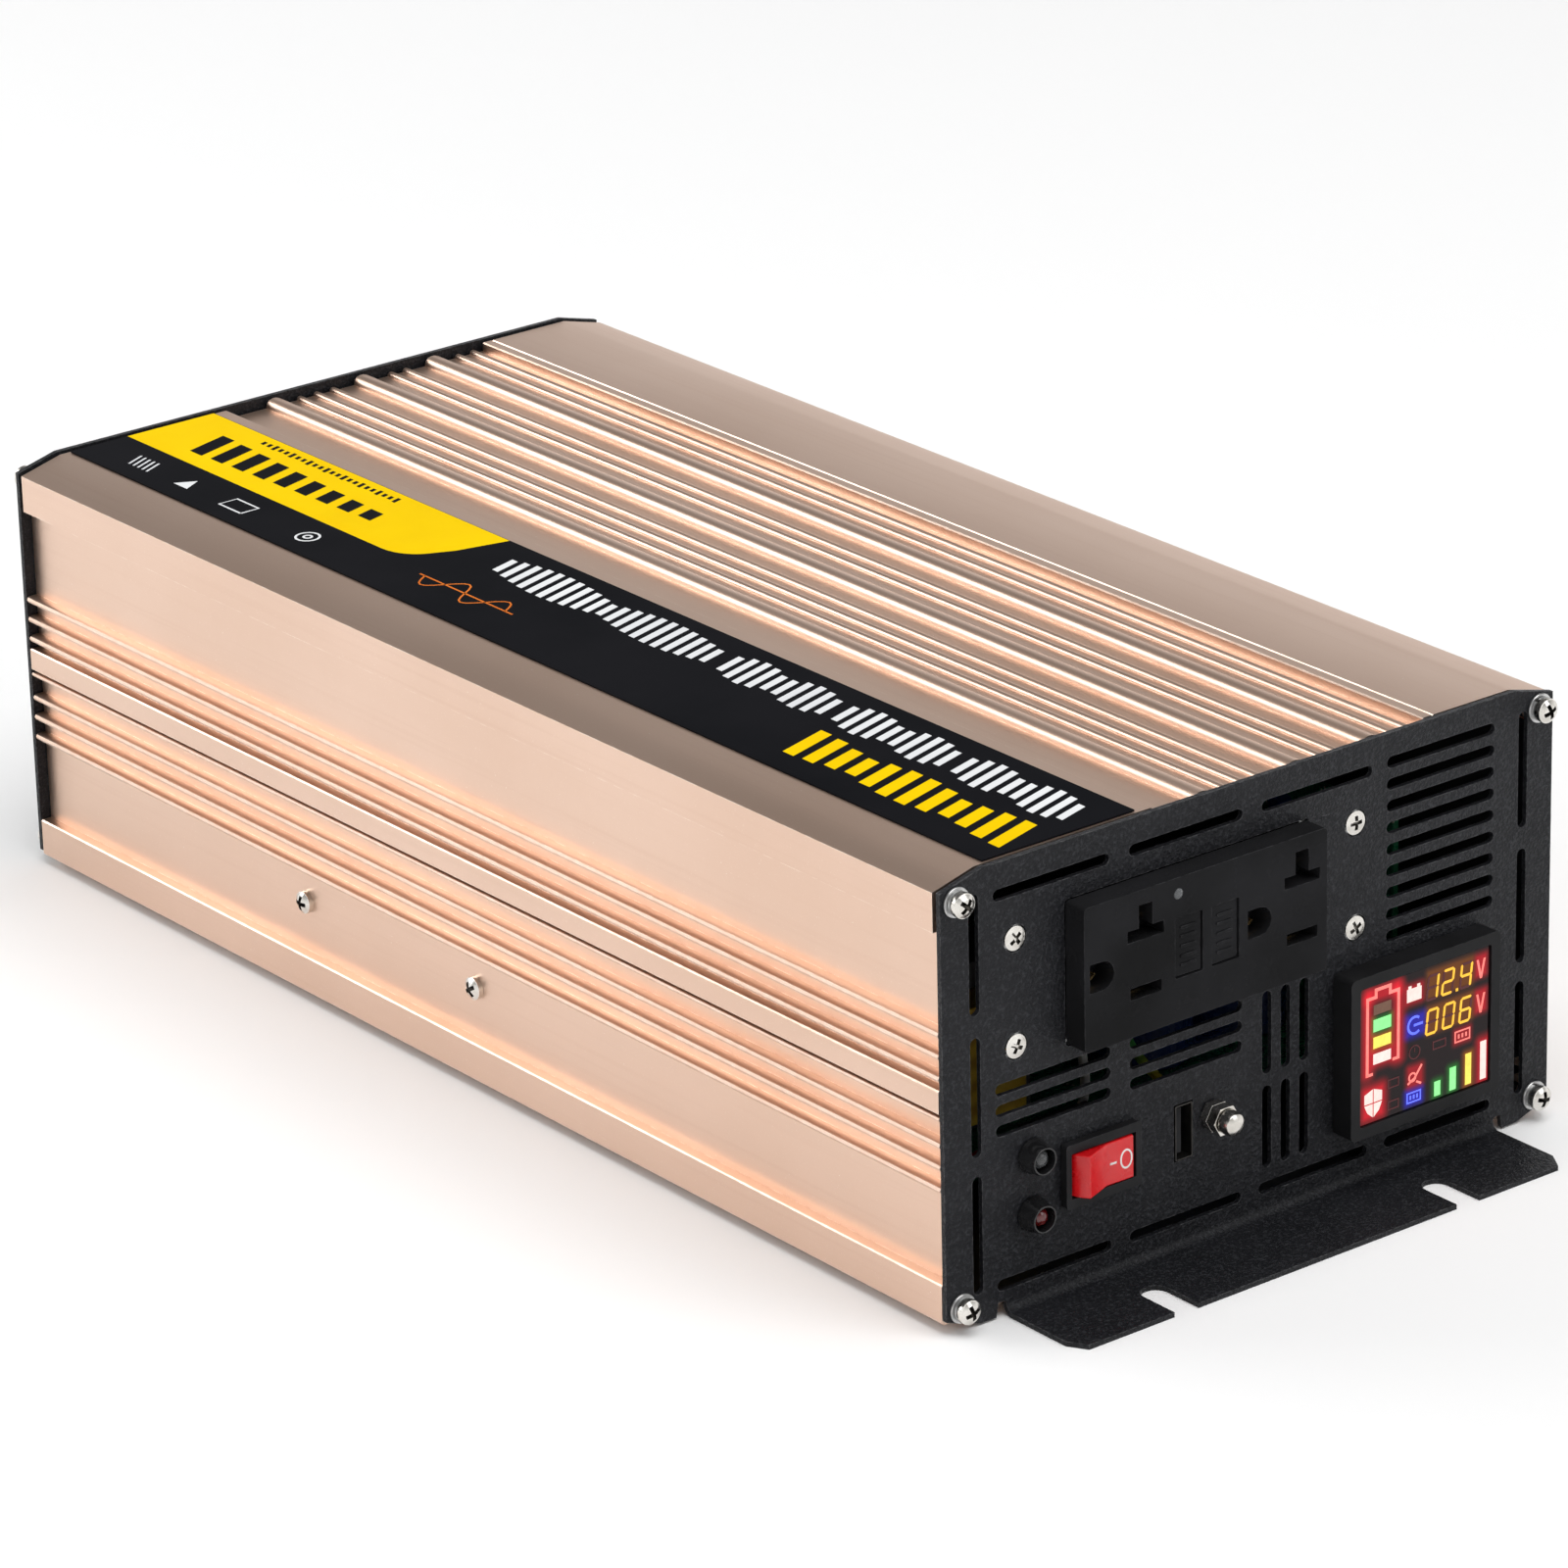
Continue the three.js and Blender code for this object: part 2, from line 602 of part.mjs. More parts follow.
function outletFace() {
  const outline = roundedRectangle(OUTLET.x0, OUTLET.x1, OUTLET.z0, OUTLET.z1, 1);
  outline.holes.push(
    ...SOCKETS.flatMap(socketOpenings),
    buttonOpening(BUTTONS.test),
    buttonOpening(BUTTONS.reset),
  );
  return plateXZ(outline, -OUTLET_PROUD, 0, 3);
}

const STRAP = { y0: SHEET + GAP, thickness: 1.4 };
const OUTLET_BACK = 26;

// Behind the face: a deep moulded body, carried by a steel strap behind the panel.
function outletBody() {
  return join(
    box(OUTLET.x0 + 1, OUTLET.x1 - 1, GAP, 5, OUTLET.z0 + 1, OUTLET.z1 - 1),
    box(OUTLET.x0 + 3, OUTLET.x1 - 3, 4, OUTLET_BACK, OUTLET.z0 + 2, OUTLET.z1 - 2),
  );
}

function outletStrap() {
  const outline = roundedRectangle(13, 123.5, 57, 92, 3);
  outline.holes.push(
    roundedRectangle(
      OUTLET.x0 + 0.6, OUTLET.x1 - 0.6, OUTLET.z0 + 0.6, OUTLET.z1 - 0.6, 1, THREE.Path),
    ...OUTLET_SCREWS.map(([x, z]) => circle(x, z, SCREW_HOLE, 8)),
  );
  return plateXZ(outline, STRAP.y0, STRAP.y0 + STRAP.thickness, 1);
}

function countersunkScrew(x, z) {
  return turned([
    [0, -0.35],
    [1.6, -0.3],
    [2.75, 0],
    [SHANK_RADIUS, 1.2],
    [SHANK_RADIUS, 8],
    [0, 8],
  ], x, z, 12);
}

piece(front, 'outlet_face', outletFace(), BLACK_PLASTIC);
piece(front, 'outlet_body', outletBody(), BLACK_PLASTIC);
piece(front, 'outlet_strap', outletStrap(), ALUMINIUM);
OUTLET_SCREWS.forEach(([x, z], i) => {
  piece(front, `outlet_screw_${i + 1}`, countersunkScrew(x, z), NICKEL);
});

['test', 'reset'].forEach((name) => {
  const x = BUTTONS[name];
  const cap = roundedRectangle(x - BUTTONS.width / 2, x + BUTTONS.width / 2, BUTTONS.z0, BUTTONS.z1, 0.5);
  piece(front, `${name}_button`, plateXZ(cap, -OUTLET_PROUD + 0.5, -BUTTON_TRAVEL - GAP, 3), BLACK_PLASTIC);
});

// ---------- display ----------
function displayBezel() {
  const { x0, x1, z0, z1, rim } = DISPLAY;
  const frame = roundedRectangle(x0, x1, z0, z1, 1.4);
  frame.holes.push(roundedRectangle(x0 + rim, x1 - rim, z0 + rim, z1 - rim, 0.6, THREE.Path));
  const collar = roundedRectangle(x0 + 1.9, x1 - 1.9, z0 + 1.9, z1 - 1.9, 1);
  collar.holes.push(roundedRectangle(x0 + rim, x1 - rim, z0 + rim, z1 - rim, 0.6, THREE.Path));
  return join(plateXZ(frame, -DISPLAY_PROUD, -GAP, 2), plateXZ(collar, -GAP - 1, 5, 1));
}

function displayInside(y0, y1, clearance) {
  const { x0, x1, z0, z1, rim } = DISPLAY;
  const inset = rim + clearance;
  return box(x0 + inset, x1 - inset, y0, y1, z0 + inset, z1 - inset);
}

piece(front, 'display_bezel', displayBezel(), BLACK_PLASTIC);
piece(front, 'display_window', displayInside(-DISPLAY_PROUD + 0.5, -DISPLAY_PROUD + 2, GAP), SMOKED_GLASS);
piece(front, 'display_board', displayInside(-DISPLAY_PROUD + 2.4, 3.9, GAP), GREEN_BOARD);

// ---------- rocker switch ----------
const ROCKER = { radius: 8.7, halfHeight: 5, pivotY: 1, opening: 9.05, pin: 1.2, valley: -2.5 };

function switchHousing() {
  const { x, z, width, height, proud } = SWITCH;
  const bezel = plateXZ(
    roundedRectangle(x - width / 2, x + width / 2, z - height / 2, z + height / 2, 0.9), -proud, -GAP, 3);
  const body = box(x - 9.6, x + 9.6, -GAP - 0.5, 15, z - 6.6, z + 6.6);
  const cavity = box(x - ROCKER.opening, x + ROCKER.opening, -proud - 1, 12,
    z - ROCKER.halfHeight - GAP, z + ROCKER.halfHeight + GAP);
  const pinHoles = rodY(ROCKER.pin + GAP, -6.2, 6.2, 0, 0, 12)
    .rotateX(Math.PI / 2).translate(x, ROCKER.pivotY, z);
  return cut(join(bezel, body), cavity, pinHoles);
}

// The rocker's face is a shallow V, its ends are round about the pivot, and its left end stands out.
function switchRocker() {
  const { radius, halfHeight, valley, pivotY } = ROCKER;
  const slope = Math.tan(ROCKER_TILT * RAD);
  const valleyY = valley - pivotY;
  // Where the sloping face meets the round end.
  const a = 1 + slope * slope;
  const b = -2 * slope * valleyY;
  const c = valleyY * valleyY - radius * radius;
  const endX = (-b + Math.sqrt(b * b - 4 * a * c)) / (2 * a) - 0.3;
  const endY = valleyY - slope * endX;
  const start = Math.atan2(endY, endX);
  const finish = Math.atan2(4.2, Math.sqrt(radius * radius - 4.2 * 4.2));
  const arc = [0, 1, 2, 3, 4].map((i) => start + (finish - start) * i / 4);
  const right = arc.map((angle) => [radius * Math.cos(angle), radius * Math.sin(angle)]);
  const left = right.map(([x, y]) => [-x, y]).reverse();
  const outline = polygon([[0, valleyY], ...right, ...left]);
  const body = plateXY(outline, -halfHeight, halfHeight);
  const pins = rodY(ROCKER.pin, -halfHeight - 0.9, halfHeight + 0.9, 0, 0, 12).rotateX(Math.PI / 2);
  return join(body, pins);
}

piece(front, 'switch_housing', switchHousing(), BLACK_PLASTIC);
const rocker = piece(front, 'switch_rocker', switchRocker(), RED_PLASTIC);
rocker.position.set(SWITCH.x, ROCKER.pivotY, SWITCH.z);
rocker.rotation.z = ROCKER_TILT * RAD;

// ---------- status lamps ----------
[['power', CLEAR_LENS], ['fault', RED_LENS]].forEach(([name, lens], i) => {
  const [x, z] = LAMPS[i];
  piece(front, `${name}_lamp_holder`, turned([
    [2.75, -4.6],
    [3.15, -4.6],
    [3.9, -1.6],
    [4.1, -GAP],
    [3, -GAP],
    [3, 7],
    [2.75, 7],
    [2.75, -4.6],
  ], x, z, 20), BLACK_PLASTIC);
  piece(front, `${name}_lamp`, turned([
    [0, -4.2],
    [1.3, -3.8],
    [2.1, -2.9],
    [2.4, -1.7],
    [2.4, 6],
    [0, 6],
  ], x, z, 14), lens);
});

// ---------- USB socket ----------
function usbShell() {
  const { x0, x1, z0, z1 } = USB;
  const outline = roundedRectangle(x0 + GAP, x1 - GAP, z0 + GAP, z1 - GAP, 0.3);
  outline.holes.push(roundedRectangle(x0 + 0.6, x1 - 0.6, z0 + 0.6, z1 - 0.6, 0.2, THREE.Path));
  return plateXZ(outline, -0.2, 12, 2);
}
piece(front, 'usb_shell', usbShell(), NICKEL);
piece(front, 'usb_tongue', join(
  box(USB.x0 + 0.9, USB.x1 - 0.9, 9, 11.5, USB.z0 + 0.9, USB.z1 - 0.9),
  box(USB.x0 + 1, USB.x0 + 2.9, 1, 9.5, USB.z0 + 1.5, USB.z1 - 1.5),
), WHITE_PLASTIC);

// ---------- earth terminal ----------
piece(front, 'earth_stud', rodY(2, -6.9, 9, GROUND.x, GROUND.z, 12), BRASS);
function nut(acrossFlats, y0, y1) {
  const outline = hexagon(GROUND.x, GROUND.z, acrossFlats);
  outline.holes.push(circle(GROUND.x, GROUND.z, 2 + GAP));
  return plateXZ(outline, y0, y1, 6);
}
piece(front, 'earth_lock_nut', nut(6.4, -2.5, -GAP), NICKEL);
piece(front, 'earth_clamp_nut', nut(6.4, -5.2, -2.8), NICKEL);
piece(front, 'earth_cap_nut', turned([
  [0, -9],
  [1.5, -8.8],
  [2.5, -8.1],
  [2.9, -7],
  [2.9, -5.5],
  [2 + GAP, -5.5],
  [2 + GAP, -7.2],
  [0, -7.2],
], GROUND.x, GROUND.z, 16), NICKEL);

// ---------- cooling fans ----------
// Each fan is laid out about its own axis, with its frame's face just inside the rear panel.
const FAN_FACE = SHEET + GAP;
const FAN_BORE = 28.6;
const HUB_RADIUS = 13;

function fanFrame() {
  const half = FAN_SIZE / 2;
  const outline = roundedRectangle(-half, half, -half, half, 3);
  outline.holes.push(circle(0, 0, FAN_BORE, 24));
  [-1, 1].forEach((i) => [-1, 1].forEach((j) => {
    outline.holes.push(circle(i * FAN_SCREW_REACH, j * FAN_SCREW_REACH, SCREW_HOLE, 6));
  }));
  const shell = plateXZ(outline, FAN_FACE, FAN_FACE + FAN_DEPTH, 2);
  const back = FAN_FACE + FAN_DEPTH;
  const struts = [0, 1, 2].map((i) => (
    box(0, FAN_BORE + 0.8, back - 3, back, -1.2, 1.2).rotateY((30 + 120 * i) * RAD)));
  return join(shell, rodY(HUB_RADIUS, back - 3, back, 0, 0, 20), ...struts);
}

function fanRotor() {
  const y0 = FAN_FACE + 1;
  const y1 = FAN_FACE + FAN_DEPTH - 3 - 0.8;
  const chord = 15;
  const blades = Array.from({ length: 7 }, (_, i) => (
    box(HUB_RADIUS - 2, 26.6, -0.8, 0.8, -chord / 2, chord / 2)
      .rotateX(52 * RAD)
      .translate(0, (y0 + y1) / 2, 0)
      .rotateY(i * 2 * Math.PI / 7)));
  return join(rodY(HUB_RADIUS, y0, y1, 0, 0, 20), ...blades);
}

FAN_CENTRES.forEach((x, i) => {
  const side = i === 0 ? 'right' : 'left';
  const place = new THREE.Group();
  place.position.set(x, 0, FAN_HEIGHT);
  rear.add(place);
  piece(place, `${side}_fan_frame`, fanFrame(), BLACK_PLASTIC);
  piece(place, `${side}_fan_rotor`, fanRotor(), BLACK_PLASTIC);
});

// ---------- battery terminals ----------
const STUD_RADIUS = 4;
const KNOB = { y0: -7.4, y1: -18.4, radius: 8, lobes: 10 };

// Hand knob with a lobed rim for grip, bored for the stud.
function knobGeometry() {
  const rim = Array.from({ length: KNOB.lobes * 2 }, (_, i) => {
    const radius = i % 2 === 0 ? KNOB.radius : KNOB.radius - 0.9;
    const angle = i * Math.PI / KNOB.lobes;
    return [radius * Math.cos(angle), radius * Math.sin(angle)];
  });
  const grip = polygon(rim);
  grip.holes.push(circle(0, 0, STUD_RADIUS + GAP));
  const cap = plateXZ(grip, KNOB.y1, KNOB.y0 - 1.5, 5);
  const neck = polygon(rim.map(([x, z]) => [x * 0.8, z * 0.8]));
  neck.holes.push(circle(0, 0, STUD_RADIUS + GAP));
  return join(cap, plateXZ(neck, KNOB.y0 - 2, KNOB.y0, 5));
}

const POLES = [['positive', RED_PLASTIC], ['negative', BLACK_PLASTIC]];
POLES.forEach(([name, plastic], i) => {
  const place = new THREE.Group();
  place.position.set(TERMINAL_CENTRES[i], 0, TERMINAL_HEIGHT);
  rear.add(place);
  const bore = STUD_RADIUS + GAP;
  piece(place, `${name}_insulator`, turned([
    [bore, -5],
    [8.5, -5],
    [9.5, -3.5],
    [9.5, -GAP],
    [TERMINAL_HOLE - GAP, -GAP],
    [TERMINAL_HOLE - GAP, 5],
    [bore, 5],
    [bore, -5],
  ], 0, 0, 20), plastic);
  piece(place, `${name}_stud`, join(
    rodY(STUD_RADIUS, -17, 16, 0, 0, 16),
    plateXZ(hexagon(0, 0, 13), 5 + GAP, 10.3),
  ), BRASS);
  piece(place, `${name}_washer`, turned([
    [bore, -6.9],
    [7.4, -6.9],
    [7.4, -5.5],
    [bore, -5.5],
    [bore, -6.9],
  ], 0, 0, 20), NICKEL);
  piece(place, `${name}_knob`, knobGeometry(), plastic);
});

// ---------- circuit boards and power parts ----------
const BOARD_HALF_WIDTH = WIDTH / 2 - WALL_INNER - 0.5;
const BOARD_FRONT = -138;
const BOARD_BACK = 112;
const ON_BOARD = BOARD_TOP + GAP;
piece(inverter, 'main_board', box(
  -BOARD_HALF_WIDTH, BOARD_HALF_WIDTH, BOARD_FRONT, BOARD_BACK, BOARD_BOTTOM, BOARD_TOP), GREEN_BOARD);

// Bars that carry the heat of the transistors into the side walls, which the side screws pull them to.
const BAR = { inner: WIDTH / 2 - WALL_INNER - 7, outer: WIDTH / 2 - WALL_INNER - GAP, z0: 16, z1: 46 };
[['left', -1], ['right', 1]].forEach(([name, side]) => {
  const [x0, x1] = [side * BAR.inner, side * BAR.outer].sort((a, b) => a - b);
  const holes = SIDE_SCREW_STATIONS.map((y) => rodX(SCREW_HOLE, x0 - 1, x1 + 1, y, SIDE_SCREW_HEIGHT));
  piece(inverter, `heat_bar_${name}`, cut(box(x0, x1, -120, 76, BAR.z0, BAR.z1), ...holes), ALUMINIUM);
});

// Three transformers in a row on the left, each a wound coil inside a ferrite frame.
const TRANSFORMER = { x: -38, stations: [-112, -66, -20], width: 42, depth: 34, height: 40, leg: 6 };
function transformer() {
  const { width, depth, height, leg } = TRANSFORMER;
  const block = box(-width / 2, width / 2, -8, 8, 0, height);
  const coil = roundedRectangle(-width / 2 + leg, width / 2 - leg, -depth / 2, depth / 2, 5);
  return join(block, plateXY(coil, leg, height - leg, 3));
}
TRANSFORMER.stations.forEach((y, i) => {
  const node = piece(inverter, `transformer_${i + 1}`, transformer(), YELLOW_TAPE);
  node.position.set(TRANSFORMER.x, y, ON_BOARD);
});

// Four reservoir capacitors bonded to one tray.
const CAPACITOR = { radius: 12.5, height: 42, pitchX: 28, pitchY: 30 };
function capacitorBank() {
  const { radius, height, pitchX, pitchY } = CAPACITOR;
  const cans = [0, pitchX].flatMap((x) => [0, pitchY].map((y) => (
    upright([[0, 0], [radius, 0], [radius, height - 1], [radius - 1, height], [0, height]], x, y, 12))));
  return join(box(-8, pitchX + 8, -8, pitchY + 8, 0, 2), ...cans);
}
piece(inverter, 'capacitor_bank', capacitorBank(), SLEEVE_BLUE).position.set(22, -112, ON_BOARD);

// Six blade fuses standing in one holder across the board.
const FUSE_PITCH = 18;
function fuseBank() {
  const stations = [-2.5, -1.5, -0.5, 0.5, 1.5, 2.5].map((i) => i * FUSE_PITCH);
  const fuses = stations.map((x) => join(
    box(x - 2.5, x + 2.5, -9.5, 9.5, 11, 20),
    box(x - 1.6, x + 1.6, -8, 8, 4, 12),
  ));
  return join(box(-52, 52, -10.5, 10.5, 0, 5), ...fuses);
}
piece(inverter, 'fuse_bank', fuseBank(), FUSE_GREEN).position.set(0, 62, ON_BOARD);

// Copper bars from the battery studs to the board.
POLES.forEach(([name], i) => {
  const x = TERMINAL_CENTRES[i];
  const outline = roundedRectangle(x - 9, x + 9, ON_BOARD, TERMINAL_HEIGHT + 9, 1.5);
  outline.holes.push(circle(x, TERMINAL_HEIGHT, STUD_RADIUS + GAP));
  const tab = plateXZ(outline, 11, 13.5, 4);
  const strip = box(x - 9, x + 9, 11, 92, ON_BOARD, ON_BOARD + 2.2);
  piece(rear, `${name}_bus_bar`, join(tab, strip), COPPER);
});

export default inverter;
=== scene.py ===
import json
from math import asin, cos, degrees, pi, radians, sin

import bmesh
import bpy
from mathutils import Matrix, Vector

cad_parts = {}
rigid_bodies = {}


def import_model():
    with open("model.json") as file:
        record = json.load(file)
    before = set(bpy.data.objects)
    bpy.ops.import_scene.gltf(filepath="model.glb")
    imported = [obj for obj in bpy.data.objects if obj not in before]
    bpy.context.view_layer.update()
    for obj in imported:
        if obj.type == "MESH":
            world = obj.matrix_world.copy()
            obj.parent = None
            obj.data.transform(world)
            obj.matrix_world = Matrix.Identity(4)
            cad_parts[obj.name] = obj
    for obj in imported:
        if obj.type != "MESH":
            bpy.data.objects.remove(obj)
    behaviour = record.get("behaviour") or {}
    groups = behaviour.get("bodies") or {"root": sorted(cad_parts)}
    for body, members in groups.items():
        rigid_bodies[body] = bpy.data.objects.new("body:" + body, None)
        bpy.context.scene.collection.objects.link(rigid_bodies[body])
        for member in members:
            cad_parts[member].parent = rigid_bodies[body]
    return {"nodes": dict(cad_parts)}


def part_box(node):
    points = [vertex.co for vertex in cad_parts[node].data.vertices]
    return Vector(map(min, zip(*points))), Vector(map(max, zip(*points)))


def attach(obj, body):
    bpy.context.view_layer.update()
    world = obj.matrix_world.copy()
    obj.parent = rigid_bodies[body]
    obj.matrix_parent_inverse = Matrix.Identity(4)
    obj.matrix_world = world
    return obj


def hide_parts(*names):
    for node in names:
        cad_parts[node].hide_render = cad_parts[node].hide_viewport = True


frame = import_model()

# A 12 V power inverter: ribbed champagne case, two black end panels, outlet, display and
# switch at the front (-Y), fans and battery posts at the rear (+Y).
# Lengths are in millimetres here, and turned to metres where a mesh is made.

for leftover in [o for o in bpy.data.objects if o.name in ("Cube", "Light", "Camera")]:
    bpy.data.objects.remove(leftover)
bpy.context.view_layer.update()

MM = 0.001
NODES = frame["nodes"]


def box_mm(node):
    low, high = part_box(node)
    return low / MM, high / MM


def middle(node):
    low, high = box_mm(node)
    return (low + high) / 2


FRONT_Y = -176.0        # outer face of the front panel
REAR_Y = 176.0
HALF_WIDTH = 87.5       # of an end panel
WALL_FACE = 84.7        # the side walls between their fins
LABEL_HIGH = box_mm("top_label")[1]
WINDOW_LOW = box_mm("display_window")[0]
FACE_LOW, FACE_HIGH = box_mm("outlet_face")
BOARD_TOP = box_mm("main_board")[1].z
SHARP = radians(34)        # edges bent further than this stay sharp
SHANK = 1.45                    # radius of a machine screw
FAN_OFFSET, FAN_HEIGHT = 46.0, 64.0


# ---------- placing ----------
# Each takes two coordinates on a face and a height out of it, and gives a point in the frame.
def on_front(u, v, out=0.0):
    """u from the panel's left edge, v from the floor, out of the front panel."""
    return (u - HALF_WIDTH, FRONT_Y - out, v)


def on_rear(u, v, out=0.0):
    return (u, REAR_Y + out, v)


def on_top(u, v, out=0.0):
    return (u, v, LABEL_HIGH.z + out)


def on_board(u, v, out=0.0):
    return (u, v, BOARD_TOP + out)


def on_left_wall(u, v, out=0.0):
    return (-WALL_FACE - out, u, v)


def on_right_wall(u, v, out=0.0):
    return (WALL_FACE + out, u, v)


# ---------- shapes ----------
class Shape:
    """Closed forms collected for one piece; a skin is the number of the piece's material."""

    def __init__(self, place=lambda u, v, w: (u, v, w)):
        self.place = place
        self.points = []
        self.faces = []
        self.skins = []

    def add(self, points, faces, skin=0):
        start = len(self.points)
        self.points += [self.place(*p) for p in points]
        self.faces += [[start + i for i in face] for face in faces]
        self.skins += [skin] * len(faces)

    def prism(self, outline, low, high, skin=0):
        """An outline on the face, from one height to another."""
        n = len(outline)
        points = [(u, v, w) for w in (low, high) for u, v in outline]
        sides = [[i, (i + 1) % n, n + (i + 1) % n, n + i] for i in range(n)]
        self.add(points, sides + [list(range(n))[::-1], list(range(n, 2 * n))], skin)

    def block(self, u0, u1, v0, v1, w0, w1, skin=0):
        self.prism([(u0, v0), (u1, v0), (u1, v1), (u0, v1)], w0, w1, skin)

    def lathe(self, profile, centre, segments=24, skin=0, start=0.0, sweep=360.0, lift=0.0):
        """A closed (radius, height) profile turned about the face's normal through centre."""
        full = sweep >= 360
        steps = segments if full else segments + 1
        points = []
        for i in range(steps):
            angle = radians(start + sweep * i / segments)
            rise = lift * i / segments
            points += [(centre[0] + r * cos(angle), centre[1] + r * sin(angle),
                        h + rise) for r, h in profile]
        n = len(profile)
        faces = []
        for i in range(segments):
            j = (i + 1) % steps
            faces += [[i * n + k, j * n + k, j * n + (k + 1) % n, i * n + (k + 1) % n]
                      for k in range(n)]
        if not full:
            faces += [list(range(n))[::-1], [segments * n + k for k in range(n)]]
        self.add(points, faces, skin)

    def rod(self, centre, radius, low, high, segments=16, skin=0, bore=0.01, **turned):
        """A round bar, or a ring round a bore, standing on the face."""
        self.lathe([(bore, low), (radius, low), (radius, high), (bore, high)], centre, segments,
                   skin, **turned)

    def tube(self, path, radius, sides=8):
        """A round wire along a path given in the frame, whatever the shape's own face."""
        spots = [Vector(p) for p in path]
        rings = []
        normal = None
        for i, spot in enumerate(spots):
            along = (spots[min(i + 1, len(spots) - 1)] - spots[max(i - 1, 0)]).normalized()
            if normal is None:
                normal = along.orthogonal().normalized()
            normal = (normal - along * normal.dot(along)).normalized()
            other = along.cross(normal)
            rings.append([spot + radius * (cos(t) * normal + sin(t) * other)
                          for t in (2 * pi * k / sides for k in range(sides))])
        start = len(self.points)
        self.points += [tuple(p) for ring in rings for p in ring]
        faces = []
        for i in range(len(rings) - 1):
            for k in range(sides):
                m = (k + 1) % sides
                faces.append([i * sides + k, i * sides + m, (i + 1) * sides + m,
                              (i + 1) * sides + k])
        last = (len(rings) - 1) * sides
        faces += [list(range(sides))[::-1], [last + k for k in range(sides)]]
        self.faces += [[start + i for i in face] for face in faces]
        self.skins += [0] * len(faces)


def smooth_path(points, steps=8):
    """A curve through the points, as a list of closely spaced points."""
    spots = [Vector(p) for p in points]
    ends = [2 * spots[0] - spots[1]] + spots + [2 * spots[-1] - spots[-2]]
    path = []
    for i in range(1, len(ends) - 2):
        a, b, c, d = ends[i - 1:i + 3]
        for k in range(steps):
            t = k / steps
            path.append(0.5 * (2 * b + (c - a) * t + (2 * a - 5 * b + 4 * c - d) * t * t
                               + (3 * b - a - 3 * c + d) * t ** 3))
    return path + [spots[-1]]


def rounded(u0, u1, v0, v1, radius, steps=2):
    """A rectangle with round corners."""
    corners = [(u1 - radius, v1 - radius, 0), (u0 + radius, v1 - radius, 90),
               (u0 + radius, v0 + radius, 180), (u1 - radius, v0 + radius, 270)]
    return [(u + radius * cos(radians(a + 90 * k / steps)),
             v + radius * sin(radians(a + 90 * k / steps)))
            for u, v, a in corners for k in range(steps + 1)]


def arc(centre, radii, start, stop, step):
    """Points round an ellipse; the angles are whole degrees."""
    return [(centre[0] + radii[0] * cos(radians(a)),
             centre[1] + radii[1] * sin(radians(a)))
            for a in range(start, stop, step)]


def ribbon(shape, points, width, low, high, skin=0):
    """A thin band along an open line of points, as a closed form."""
    left, right = [], []
    spots = [Vector(p) for p in points]
    for i, spot in enumerate(spots):
        along = (spots[min(i + 1, len(spots) - 1)] - spots[max(i - 1, 0)]).normalized()
        side = Vector((-along.y, along.x)) * width / 2
        left.append(tuple(spot + side))
        right.append(tuple(spot - side))
    n = len(left)
    solid = [(u, v, w) for w in (low, high) for u, v in left + right]
    m = 2 * n
    faces = [[0, n, m + n, m], [n - 1, m + n - 1, m + 2 * n - 1, 2 * n - 1]]
    for i in range(n - 1):
        faces += [[i, i + 1, n + i + 1, n + i], [m + i, m + n + i, m + n + i + 1, m + i + 1],
                  [i, m + i, m + i + 1, i + 1], [n + i, n + i + 1, m + n + i + 1, m + n + i]]
    shape.add(solid, faces, skin)


